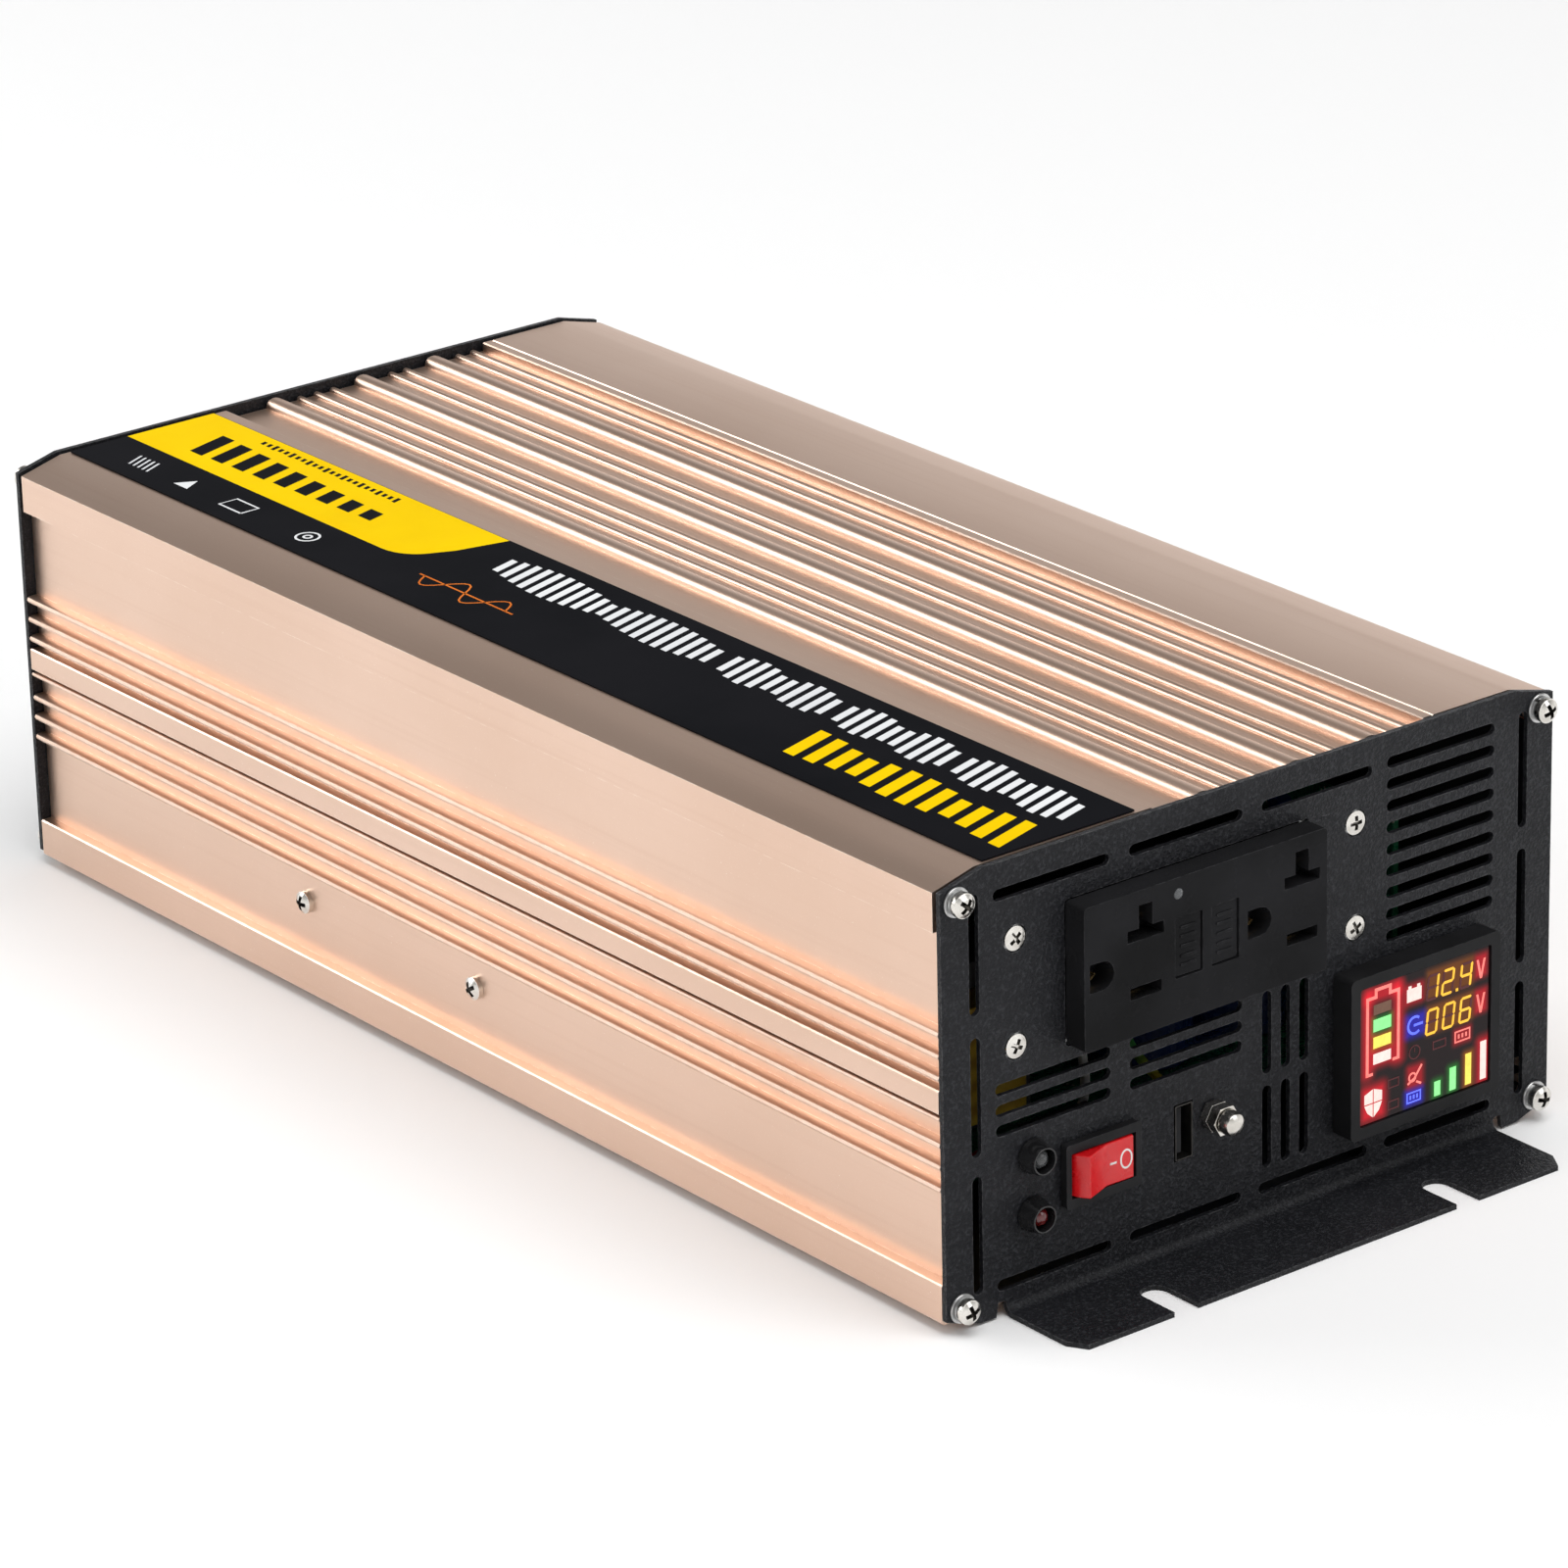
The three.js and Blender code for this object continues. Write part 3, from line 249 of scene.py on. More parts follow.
# ---------- materials ----------
class Look:
    """A material in the making. Each call adds a node and gives its output."""

    def __init__(self, name):
        self.material = bpy.data.materials.new(name)
        self.material.use_nodes = True
        self.tree = self.material.node_tree
        self.shader = self.tree.nodes["Principled BSDF"]
        self.spot = self.node("ShaderNodeTexCoord", "Object")

    def feed(self, socket, value):
        if isinstance(value, bpy.types.NodeSocket):
            self.tree.links.new(value, socket)
        elif socket.type == "RGBA" and len(value) == 3:
            socket.default_value = (*value, 1.0)
        else:
            socket.default_value = value

    def node(self, kind, output=0, inputs=(), **settings):
        made = self.tree.nodes.new(kind)
        for key, value in settings.items():
            setattr(made, key, value)
        for key, value in dict(inputs).items():
            self.feed(made.inputs[key], value)
        return made.outputs[output]

    def set(self, **sockets):
        for key, value in sockets.items():
            self.feed(self.shader.inputs[key.replace("_", " ")], value)

    def stretched(self, x, y, z):
        return self.node("ShaderNodeMapping", inputs={"Vector": self.spot, "Scale": (x, y, z)})

    def noise(self, per_metre, detail=3.0, spot=None, rough=0.5):
        return self.node("ShaderNodeTexNoise", "Fac", {
            "Vector": spot or self.spot, "Scale": per_metre, "Detail": detail,
            "Roughness": rough})

    def cells(self, per_metre):
        return self.node("ShaderNodeTexVoronoi", "Distance",
                         {"Vector": self.spot, "Scale": per_metre})

    def between(self, value, low, high, to_low=0.0, to_high=1.0):
        return self.node("ShaderNodeMapRange", inputs={
            "Value": value, "From Min": low, "From Max": high,
            "To Min": to_low, "To Max": to_high})

    def maths(self, operation, a, b=0.0):
        return self.node("ShaderNodeMath", inputs={0: a, 1: b}, operation=operation)

    def times(self, a, b):
        return self.maths("MULTIPLY", a, b)

    def uneven(self, per_metre, detail, low, high):
        """A value that wanders between low and high."""
        return self.between(self.noise(per_metre, detail), 0.3, 0.7, low, high)

    def mix(self, amount, a, b):
        """Colours blended by amount."""
        return self.node("ShaderNodeMix", 2, {0: amount, 6: a, 7: b}, data_type="RGBA")

    def bump(self, height, strength, distance, under=None):
        inputs = {"Height": height, "Strength": strength, "Distance": distance * MM}
        if under is not None:
            inputs["Normal"] = under
        return self.node("ShaderNodeBump", inputs=inputs)

    def edges(self, radius):
        """1 along convex and concave edges, 0 on open faces."""
        soft = self.node("ShaderNodeBevel", inputs={"Radius": radius * MM}, samples=4)
        true = self.node("ShaderNodeNewGeometry", "Normal")
        along = self.node("ShaderNodeVectorMath", "Value", {0: soft, 1: true},
                          operation="DOT_PRODUCT")
        return self.between(along, 0.9985, 0.96)

    def axis(self, name):
        return self.node("ShaderNodeSeparateXYZ", name, {0: self.spot})


def colour(red, green, blue):
    """An 8-bit screen colour as the linear colour that a shader takes."""
    def linear(value):
        value /= 255
        return value / 12.92 if value <= 0.04045 else ((value + 0.055) / 1.055) ** 2.4
    return (linear(red), linear(green), linear(blue))


def finish(name, base, other, rough, metallic, mottle, grain=None, wear=None, scratch=0.0,
           **sockets):
    """The common finish: two colours in patches, uneven gloss, a fine grain and worn edges."""
    look = Look(name)
    patches = look.noise(mottle, 4)
    tint = look.mix(look.between(patches, 0.35, 0.65), base, other)
    gloss = look.uneven(mottle * 5, 5, *rough)
    normal = None
    if grain:
        per_metre, strength, distance = grain
        fine = look.noise(per_metre, 2)
        normal = look.bump(fine, strength, distance)
        tint = look.mix(look.between(fine, 0.62, 0.8, 0, 0.25), tint, other)
    if scratch:
        marks = look.noise(900, 2, look.stretched(1, 0.04, 0.6))
        normal = look.bump(look.between(marks, 0.45, 0.6), scratch, 0.03, normal)
    if wear:
        worn, radius = wear
        patchy = look.between(look.noise(400, 3), 0.4, 0.65)
        mask = look.times(look.edges(radius), patchy)
        tint = look.mix(mask, tint, worn)
    look.set(Base_Color=tint, Roughness=gloss, Metallic=metallic, **sockets)
    if normal is not None:
        look.set(Normal=normal)
    return look


CHAMPAGNE = (0.775, 0.57, 0.455)
CHAMPAGNE_DEEP = (0.735, 0.53, 0.415)
CHAMPAGNE_BRIGHT = (0.93, 0.8, 0.7)
JET = (0.012, 0.012, 0.013)
INSIDE = ((-82.95, 82.95), (-173.4, 173.4), (4.9, 100.45))   # x, y and z of the case's hollow


def within(look, limits):
    """1 inside a box given in millimetres, 0 outside it."""
    mask = None
    for name, (low, high) in zip("XYZ", limits):
        along = look.axis(name)
        part = look.times(look.maths("GREATER_THAN", along, low * MM),
                          look.maths("LESS_THAN", along, high * MM))
        mask = part if mask is None else look.times(mask, part)
    return mask


def anodised():
    """Bead-blasted and anodised extrusion: satin, with die lines along its length.
    Inside the case's hollow it is painted black and not metallic, as painted shade."""
    look = Look("anodised")
    along = look.stretched(1, 0.012, 1)
    patches = look.between(look.noise(14, 4), 0.35, 0.65)
    tint = look.mix(patches, CHAMPAGNE, CHAMPAGNE_DEEP)
    lines = look.noise(700, 3, along)
    tint = look.mix(look.between(lines, 0.55, 0.75, 0, 0.22), tint, (0.66, 0.44, 0.33))
    blast = look.noise(2600, 2)
    tint = look.mix(look.between(blast, 0.66, 0.78, 0, 0.5), tint, CHAMPAGNE_BRIGHT)
    specks = look.between(look.cells(230), 0.035, 0.02, 0, 0.75)
    tint = look.mix(specks, tint, (0.95, 0.88, 0.8))
    mask = look.times(look.edges(0.35), look.between(look.noise(300, 3), 0.4, 0.6))
    tint = look.mix(mask, tint, CHAMPAGNE_BRIGHT)
    # Painted shade: the whole hollow inside the case turns black.
    painted_inner_shade = within(look, INSIDE)
    tint = look.mix(painted_inner_shade, tint, JET)
    rough = look.between(look.noise(90, 4, along), 0.3, 0.7, 0.35, 0.43)
    normal = look.bump(blast, 0.16, 0.05)
    normal = look.bump(lines, 0.1, 0.03, normal)
    look.set(Base_Color=tint, Roughness=rough, Normal=normal,
             Metallic=look.maths("SUBTRACT", 1.0, painted_inner_shade))
    return look


def powder_coat():
    """Fine-textured black powder coat on steel sheet."""
    look = Look("powder_coat")
    orange_peel = look.noise(1350, 3, rough=0.6)
    pits = look.cells(1500)
    tint = look.mix(look.between(look.noise(40, 4), 0.35, 0.65), (0.0085, 0.0088, 0.0105),
                    (0.012, 0.0123, 0.0145))
    tint = look.mix(look.between(orange_peel, 0.5, 0.68), tint, (0.03, 0.031, 0.035))
    mask = look.times(look.edges(0.3), look.between(look.noise(700, 3), 0.42, 0.6))
    tint = look.mix(look.times(mask, 0.7), tint, (0.13, 0.13, 0.135))
    normal = look.bump(orange_peel, 1.0, 0.4)
    normal = look.bump(pits, 0.2, 0.08, normal)
    rough = look.uneven(350, 4, 0.3, 0.45)
    look.set(Base_Color=tint, Roughness=rough, Normal=normal, Specular_IOR_Level=0.16)
    return look


def board_green():
    """Circuit board: green resist over fine tracks and pads."""
    look = Look("board_green")
    tracks = look.node("ShaderNodeTexBrick", "Fac", {
        "Vector": look.spot, "Scale": 260.0, "Mortar Size": 0.03, "Mortar Smooth": 0.1,
        "Brick Width": 0.9, "Row Height": 0.3})
    pads = look.between(look.cells(330), 0.16, 0.12)
    tint = look.mix(look.between(look.noise(90, 3), 0.4, 0.6), (0.005, 0.075, 0.028),
                    (0.006, 0.1, 0.04))
    tint = look.mix(tracks, tint, (0.012, 0.16, 0.06))
    tint = look.mix(pads, tint, (0.6, 0.56, 0.48))
    look.set(Base_Color=tint, Roughness=look.uneven(300, 3, 0.2, 0.35),
             Metallic=look.times(pads, 0.8),
             Normal=look.bump(look.maths("MAXIMUM", tracks, pads), 0.4, 0.04))
    return look


def glow(name, shade, strength):
    """A lit segment: brightest in patches, a little uneven."""
    look = Look(name)
    uneven = look.uneven(900, 3, 0.85 * strength, strength)
    tint = look.mix(look.between(look.noise(250, 2), 0.3, 0.7), shade,
                    tuple(min(1.0, 1.1 * c + 0.01) for c in shade))
    look.set(Base_Color=look.mix(0.9, tint, (0.02, 0.02, 0.02)), Emission_Color=tint,
             Emission_Strength=uneven, Roughness=0.3, Specular_IOR_Level=0.2)
    return look


# Where the window glows, on the panel: colour, lowest and highest u and v, reach and power.
BLOOMS = [
    ("red", 114.5, 115.3, 29, 47.5, 3.2, 1.1), ("red", 123.7, 124.5, 30.5, 47.5, 3.2, 1.1),
    ("red", 115, 124, 46.8, 48.6, 3.0, 1.0), ("red", 116.7, 121.9, 31, 33.5, 2.6, 0.9),
    ("red", 114.4, 119.2, 19, 25, 3.4, 1.3), ("red", 126.8, 130.8, 43, 46.2, 2.4, 0.9),
    ("red", 147.6, 150, 43.6, 47.8, 2.2, 0.9), ("red", 147.6, 150, 35, 39.4, 2.2, 0.9),
    ("red", 148.8, 150.6, 18, 27.2, 3.0, 1.1), ("red", 127.4, 131, 22.7, 26.8, 2.2, 0.7),
    ("red", 141.2, 145.5, 29, 31.8, 1.8, 0.6),
    ("amber", 133, 146, 42.5, 48.3, 2.0, 0.32), ("amber", 133, 146, 34, 39.8, 2.0, 0.32),
    ("amber", 116.7, 121.9, 34.8, 37.5, 1.8, 0.6), ("amber", 144.3, 146.1, 18, 25.5, 2.0, 0.6),
    ("green", 116.7, 121.9, 38.8, 41.7, 1.8, 0.5), ("green", 135, 136.8, 18, 21.5, 2.0, 0.55),
    ("green", 139.6, 141.5, 18, 23.5, 2.0, 0.55),
    ("blue", 127, 131.4, 35, 39, 2.4, 0.8), ("blue", 126.7, 131, 18.5, 21.1, 2.0, 0.8),
]
GLOWS = {"red": (0.85, 0.004, 0.02), "amber": (0.8, 0.22, 0.0), "green": (0.02, 0.5, 0.05),
         "blue": (0.02, 0.02, 0.85)}


def smoked_glass():
    """Dark red-black window with light spilling round the lit symbols."""
    look = Look("smoked_glass")
    across, up = look.axis("X"), look.axis("Z")

    def beyond(value, low, high):
        centre, half = (low + high) / 2 * MM, (high - low) / 2 * MM
        away = look.maths("ABSOLUTE", look.maths("SUBTRACT", value, centre))
        return look.maths("MAXIMUM", look.maths("SUBTRACT", away, half), 0.0)

    sums = {}
    for shade, u0, u1, v0, v1, reach, power in BLOOMS:
        du = beyond(across, u0 - HALF_WIDTH, u1 - HALF_WIDTH)
        dv = beyond(up, v0, v1)
        away = look.maths("SQRT", look.maths("ADD", look.times(du, du), look.times(dv, dv)))
        fade = look.maths("POWER", look.between(away, 0.0, reach * MM, 1.0, 0.0), 2.2)
        light = look.times(fade, power * 0.55)
        sums[shade] = look.maths("ADD", sums[shade], light) if shade in sums else light
    channels = []
    for channel in range(3):
        total = None
        for shade, amount in sums.items():
            part = look.times(amount, GLOWS[shade][channel])
            total = part if total is None else look.maths("ADD", total, part)
        channels.append(total)
    light = look.node("ShaderNodeCombineColor", inputs=dict(enumerate(channels)))
    look.set(Base_Color=look.mix(look.noise(200), (0.006, 0.0012, 0.002),
                                 (0.009, 0.002, 0.003)),
             Emission_Color=light, Emission_Strength=1.0, Specular_IOR_Level=0.22,
             Roughness=look.uneven(120, 4, 0.08, 0.14))
    return look


def gloss_label(name, base, other):
    """Printed polyester film: smooth, slightly rippled, with fine scuffs."""
    look = finish(name, base, other, (0.1, 0.2), 0, 25, scratch=0.08)
    ripple = look.bump(look.noise(35, 2), 0.05, 0.6)
    look.set(Normal=ripple, Specular_IOR_Level=0.004)
    return look


def yellow_tape():
    """Transformer: yellow tape in turns round the coil, dark ferrite for the core's block."""
    look = Look("yellow_tape")
    turns = look.node("ShaderNodeTexWave", "Fac", {
        "Vector": look.spot, "Scale": 55, "Distortion": 0.6, "Detail": 1.0},
        wave_type="BANDS", bands_direction="Z")
    tint = look.mix(look.between(turns, 0.1, 0.9), (0.55, 0.31, 0.01), (0.75, 0.48, 0.03))
    # The cores stand 46 mm apart along the case, each 16 mm deep.
    along = look.maths("ADD", look.axis("Y"), 0.135)
    offset = look.maths("SUBTRACT", look.maths("MODULO", along, 0.046), 0.023)
    core = look.maths("LESS_THAN", look.maths("ABSOLUTE", offset), 0.0082)
    tint = look.mix(core, tint, (0.045, 0.043, 0.042))
    look.set(Base_Color=tint, Normal=look.bump(turns, 0.3, 0.2), Coat_Weight=0.25,
             Roughness=look.uneven(150, 3, 0.3, 0.5))
    return look


def fuse_green():
    """Green blade fuses in a black holder."""
    look = Look("fuse_green")
    mottled = look.noise(120, 3)
    tint = look.mix(mottled, (0.012, 0.28, 0.1), (0.01, 0.2, 0.07))
    holder = look.maths("LESS_THAN", look.axis("Z"), (BOARD_TOP + 5.35) * MM)
    tint = look.mix(holder, tint, JET)
    look.set(Base_Color=tint, Coat_Weight=0.4, Normal=look.bump(mottled, 0.05, 0.1),
             Roughness=look.between(mottled, 0.3, 0.7, 0.15, 0.3))
    return look


BLACK = (0.009, 0.009, 0.0095)
BLACK_LIFTED = (0.016, 0.016, 0.0175)
LOOKS = {make.__name__: make() for make in (anodised, powder_coat, board_green, smoked_glass,
                                            yellow_tape, fuse_green)}

for name, base, other in (
    ("label_black", (0.0055, 0.0058, 0.0075), (0.008, 0.008, 0.01)),
    ("label_yellow", colour(243, 204, 0), colour(236, 194, 0)),
    ("label_white", (0.78, 0.79, 0.8), (0.68, 0.69, 0.71)),
    ("label_orange", colour(224, 122, 48), colour(196, 96, 34)),
):
    LOOKS[name] = gloss_label(name, base, other)

# Two colours, lowest and highest roughness, metal or not, patches a metre, and what it has
# besides.
FINISHES = {
    "black_plastic": (BLACK, BLACK_LIFTED, (0.3, 0.42), 0, 50, dict(
        grain=(1800, 0.08, 0.05), wear=((0.04, 0.04, 0.042), 0.25), Specular_IOR_Level=0.12)),
    "gloss_plastic": (BLACK, BLACK_LIFTED, (0.2, 0.3), 0, 40, dict(
        scratch=0.05, wear=((0.05, 0.05, 0.053), 0.25), Specular_IOR_Level=0.04)),
    "lens_black": (JET, BLACK, (0.04, 0.08), 0, 150, {}),
    "nickel": ((0.8, 0.775, 0.73), (0.66, 0.63, 0.58), (0.16, 0.28), 1, 300, dict(
        scratch=0.15, wear=((0.9, 0.88, 0.84), 0.2))),
    # Painted shade: a dark finish for the screws' cross hollows.
    "recess": ((0.035, 0.032, 0.028), (0.09, 0.08, 0.07), (0.3, 0.45), 0.9, 500, {}),
    "dull_steel": ((0.09, 0.085, 0.08), (0.05, 0.048, 0.045), (0.4, 0.5), 1, 250,
                   dict(scratch=0.1)),
    "zinc": ((0.62, 0.62, 0.61), (0.5, 0.5, 0.5), (0.28, 0.42), 1, 350, dict(scratch=0.15)),
    "brass": ((0.83, 0.6, 0.28), (0.7, 0.47, 0.2), (0.2, 0.34), 1, 220, dict(scratch=0.12)),
    "copper": ((0.88, 0.42, 0.22), (0.68, 0.28, 0.13), (0.24, 0.4), 1, 120,
               dict(scratch=0.15)),
    "aluminium": ((0.78, 0.785, 0.79), (0.66, 0.665, 0.67), (0.28, 0.42), 1, 160,
                  dict(scratch=0.2)),
    "red_plastic": (colour(222, 20, 28), colour(205, 14, 22), (0.2, 0.3), 0, 70, dict(
        grain=(1500, 0.04, 0.03), wear=(colour(240, 70, 70), 0.12), Coat_Weight=0.12,
        Subsurface_Weight=0.12, Subsurface_Radius=(0.002, 0.0004, 0.0003))),
    "mark_white": ((0.85, 0.84, 0.82), (0.72, 0.71, 0.7), (0.4, 0.5), 0, 300, {}),
    "white_plastic": ((0.7, 0.7, 0.67), (0.6, 0.6, 0.57), (0.35, 0.45), 0, 90,
                      dict(grain=(1500, 0.06, 0.04))),
    "clear_lens": ((0.2, 0.21, 0.22), (0.12, 0.125, 0.13), (0.04, 0.09), 0, 350,
                   dict(Transmission_Weight=0.55, IOR=1.49)),
    "red_lens": ((0.12, 0.006, 0.006), (0.06, 0.003, 0.003), (0.04, 0.09), 0, 350,
                 dict(Coat_Weight=0.6)),
    "fan_plastic": (JET, (0.02, 0.02, 0.021), (0.38, 0.5), 0, 60, dict(
        grain=(1300, 0.1, 0.06), wear=((0.06, 0.06, 0.06), 0.3))),
    "sleeve": ((0.012, 0.03, 0.12), (0.009, 0.022, 0.09), (0.2, 0.32), 0, 80,
               dict(scratch=0.1, Coat_Weight=0.4)),
    "ferrite": ((0.03, 0.029, 0.028), (0.055, 0.053, 0.05), (0.55, 0.7), 0, 200,
                dict(grain=(1600, 0.3, 0.08))),
    "sticker": ((0.55, 0.56, 0.57), (0.45, 0.46, 0.47), (0.25, 0.35), 0, 120,
                dict(scratch=0.08)),
    "ribbon_grey": ((0.3, 0.3, 0.31), (0.18, 0.18, 0.19), (0.4, 0.5), 0, 500, {}),
}
for name, (base, other, mottle) in {
    "wire_red": ((0.5, 0.01, 0.012), (0.38, 0.008, 0.01), 250),
    "wire_black": ((0.011, 0.011, 0.012), (0.02, 0.02, 0.02), 250),
    "wire_white": ((0.62, 0.62, 0.6), (0.5, 0.5, 0.48), 250),
    "wire_green": ((0.02, 0.2, 0.03), (0.5, 0.42, 0.02), 90),
}.items():
    FINISHES[name] = (base, other, (0.35, 0.5), 0, mottle, dict(grain=(1500, 0.08, 0.04)))
for name, (base, other, rough, metallic, mottle, besides) in FINISHES.items():
    LOOKS[name] = finish(name, base, other, rough, metallic, mottle, **besides)

for name, shade, strength in (
    ("lit_red", (1.0, 0.2, 0.17), 1.25), ("lit_white_red", (1.0, 0.74, 0.68), 1.1),
    ("lit_amber", (1.0, 0.5, 0.03), 1.25), ("lit_yellow", (1.0, 0.76, 0.1), 1.15),
    ("lit_green", (0.28, 1.0, 0.3), 1.1), ("lit_blue", (0.1, 0.14, 1.0), 1.5),
    ("dim_brown", (0.2, 0.09, 0.05), 0.7), ("dim_red", (0.16, 0.01, 0.015), 0.4),
):
    LOOKS[name] = glow(name, shade, strength)


def skin(name):
    return LOOKS[name].material


# ---------- making pieces ----------
def place_object(name, data):
    obj = bpy.data.objects.new(name, data)
    bpy.context.scene.collection.objects.link(obj)
    return obj


def smooth_faces():
    """A modifier group that welds a CAD mesh and shades its curved faces smooth."""
    group = bpy.data.node_groups.new("smooth_faces", "GeometryNodeTree")
    for direction in ("INPUT", "OUTPUT"):
        group.interface.new_socket("Geometry", in_out=direction,
                                   socket_type="NodeSocketGeometry")
    new, link = group.nodes.new, group.links.new
    start, end = new("NodeGroupInput"), new("NodeGroupOutput")
    weld = new("GeometryNodeMergeByDistance")
    weld.inputs["Distance"].default_value = 0.004 * MM
    bare = new("GeometryNodeRemoveAttribute")
    bare.inputs["Name"].default_value = "custom_normal"
    angle = new("GeometryNodeInputMeshEdgeAngle")
    gentle = new("FunctionNodeCompare")
    gentle.data_type = "FLOAT"
    gentle.operation = "LESS_THAN"
    gentle.inputs["B"].default_value = SHARP
    edges = new("GeometryNodeSetShadeSmooth")
    edges.domain = "EDGE"
    faces = new("GeometryNodeSetShadeSmooth")
    link(start.outputs[0], weld.inputs["Geometry"])
    link(weld.outputs[0], bare.inputs["Geometry"])
    link(bare.outputs[0], faces.inputs["Geometry"])
    link(faces.outputs[0], edges.inputs["Geometry"])
    link(angle.outputs["Unsigned Angle"], gentle.inputs["A"])
    link(gentle.outputs["Result"], edges.inputs["Shade Smooth"])
    link(edges.outputs[0], end.inputs[0])
    return group


SMOOTH = smooth_faces()


def soften(obj, width, segments=2):
    """Rounds the sharp edges, by a width in millimetres."""
    rounding = obj.modifiers.new("edges", "BEVEL")
    rounding.width = width * MM
    rounding.segments = segments
    rounding.limit_method = "ANGLE"
    rounding.angle_limit = SHARP
    rounding.harden_normals = True


def dress(node, look, width=0.12, segments=2):
    """Gives a CAD node its material and softly rounded edges."""
    obj = NODES[node]
    for held in obj.material_slots:
        held.material = skin(look)
    if not obj.material_slots:
        obj.data.materials.append(skin(look))
    obj.modifiers.new("shading", "NODES").node_group = SMOOTH
    if width:
        soften(obj, width, segments)


def piece(name, shape, looks, body="case", width=0.0, replaces=()):
    """Makes a shape into an object that rides on a body. Its looks fill its material slots in
    order.
    """
    mesh = bpy.data.meshes.new(name)
    mesh.from_pydata([[c * MM for c in p] for p in shape.points], [], shape.faces)
    for look in looks:
        mesh.materials.append(skin(look))
    mesh.polygons.foreach_set("material_index", shape.skins)
    form = bmesh.new()
    form.from_mesh(mesh)
    bmesh.ops.recalc_face_normals(form, faces=form.faces)
    form.to_mesh(mesh)
    form.free()
    mesh.polygons.foreach_set("use_smooth", [True] * len(mesh.polygons))
    mesh.set_sharp_from_angle(angle=SHARP)
    obj = place_object(name, mesh)
    if width:
        soften(obj, width)
    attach(obj, body)
    if replaces:
        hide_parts(*replaces)


# ---------- fasteners ----------
def recessed_head(shape, centre, seat, radius, height, crown=0.5, flush=False, cross=1.0,
                  turn=0.0):
    """A screw head with a tapered cross-shaped hollow; seat is the height of its underside.
    Skin 0 is the head and skin 1 the hollow, painted dark as shade."""
    around = 24                     # points on each ring
    half = 0.46 * cross
    reach = 1.75 * cross
    deep = 1.5 * cross

    def dome(r):
        return seat + height * (1 - crown * (r / radius) ** 2)

    rings = [0.7 * cross, 1.15 * cross, reach, reach + 0.08]
    rings += [reach + (radius - reach) * t for t in (0.4, 0.7, 0.88)]
    points = [(centre[0], centre[1], dome(0) - deep)]
    sunk = {0}

    def point(r, quarter, angle, level):
        t = radians(turn + 90 * quarter + angle)
        points.append((centre[0] + r * cos(t), centre[1] + r * sin(t), level))

    for r in rings:
        a = degrees(asin(min(0.99, half / max(r, half * 1.01))))
        for quarter in range(4):
            for angle, inside in ((0, True), (a - 1, True), (a + 2, False), (45, False),
                                  (88 - a, False), (91 - a, True)):
                level = dome(r)
                if inside and r <= reach:
                    sunk.add(len(points))
                    level = dome(0) - deep * (1 - 0.4 * r / reach)
                point(r, quarter, angle, level)
    rim = [(radius, dome(radius)), (radius * 0.55, seat)] if flush else [
        (radius * 0.97, dome(radius) + 0.04 * height), (radius, seat + 0.3 * height),
        (radius * 0.97, seat)]
    for r, level in rim:
        for quarter in range(4):
            for angle in (0, 16, 30, 45, 60, 74):
                point(r, quarter, angle, level)
    faces = [[0, 1 + k, 1 + (k + 1) % around] for k in range(around)]
    last = 1 + (len(rings) + len(rim) - 1) * around
    for start in range(1, last, around):
        for k in range(around):
            m = (k + 1) % around
            faces.append([start + k, start + around + k, start + around + m, start + m])
    faces.append([last + k for k in range(around)])
    shape.add(points, [f for f in faces if sunk.isdisjoint(f)], 0)
    # The cross hollow's faces take skin 1, a painted shade.
    shape.add(points, [f for f in faces if not sunk.isdisjoint(f)], 1)


def washered_screw(name, place, centre, turn, replaces=()):
    """A pan-head screw on a split spring washer and a flat washer, on an end panel."""
    shape = Shape(place)
    shape.lathe([(1.62, 0.02), (3.3, 0.02), (3.4, 0.12), (3.4, 0.5), (3.3, 0.62),
                 (1.62, 0.62)], centre, 32, skin=2)
    shape.lathe([(1.7, 0.66), (2.75, 0.66), (2.8, 1.1), (2.75, 1.4), (1.7, 1.4)], centre, 28,
                skin=2, start=turn + 20, sweep=344, lift=0.25)
    recessed_head(shape, centre, 1.7, 2.9, 2.4, turn=turn)
    shape.rod(centre, SHANK, -6, 1.9)
    piece(name, shape, ["nickel", "recess", "zinc"], replaces=replaces)


FRONT_SCREWS = {"lower_left": (4.2, 5.8), "upper_left": (4.2, 99.3),
                "lower_right": (170.8, 5.8), "upper_right": (170.8, 99.3)}
for turn, (corner, centre) in enumerate(FRONT_SCREWS.items()):
    node = "panel_screw_" + corner
    washered_screw("front_screw_" + corner, on_front, centre, 17 + 31 * turn, [node])
for turn, (corner, (u, v)) in enumerate(FRONT_SCREWS.items()):
    washered_screw("rear_screw_" + corner, on_rear, (HALF_WIDTH - u, v), 8 + 23 * turn)

for side, place in (("left", on_left_wall), ("right", on_right_wall)):
    for index in (1, 2):
        node = f"side_screw_{side}_{index}"
        centre = middle(node).yz
        shape = Shape(place)
        recessed_head(shape, centre, 0.05, 2.8, 2.3, turn=20 + 37 * index)
        shape.rod(centre, SHANK, -6, 0.2)
        piece(f"case_screw_{side}_{index}", shape, ["nickel", "recess"], replaces=[node])

for index in range(1, 5):
    node = f"outlet_screw_{index}"
    at = middle(node)
    centre = (at.x + HALF_WIDTH, at.z)
    shape = Shape(on_front)
    recessed_head(shape, centre, -1.0, 2.75, 1.4, crown=0.28, flush=True, cross=0.92,
                  turn=12 + 26 * index)
    shape.rod(centre, SHANK, -8, -0.4)
    piece(f"outlet_fixing_{index}", shape, ["nickel", "recess"], replaces=[node])

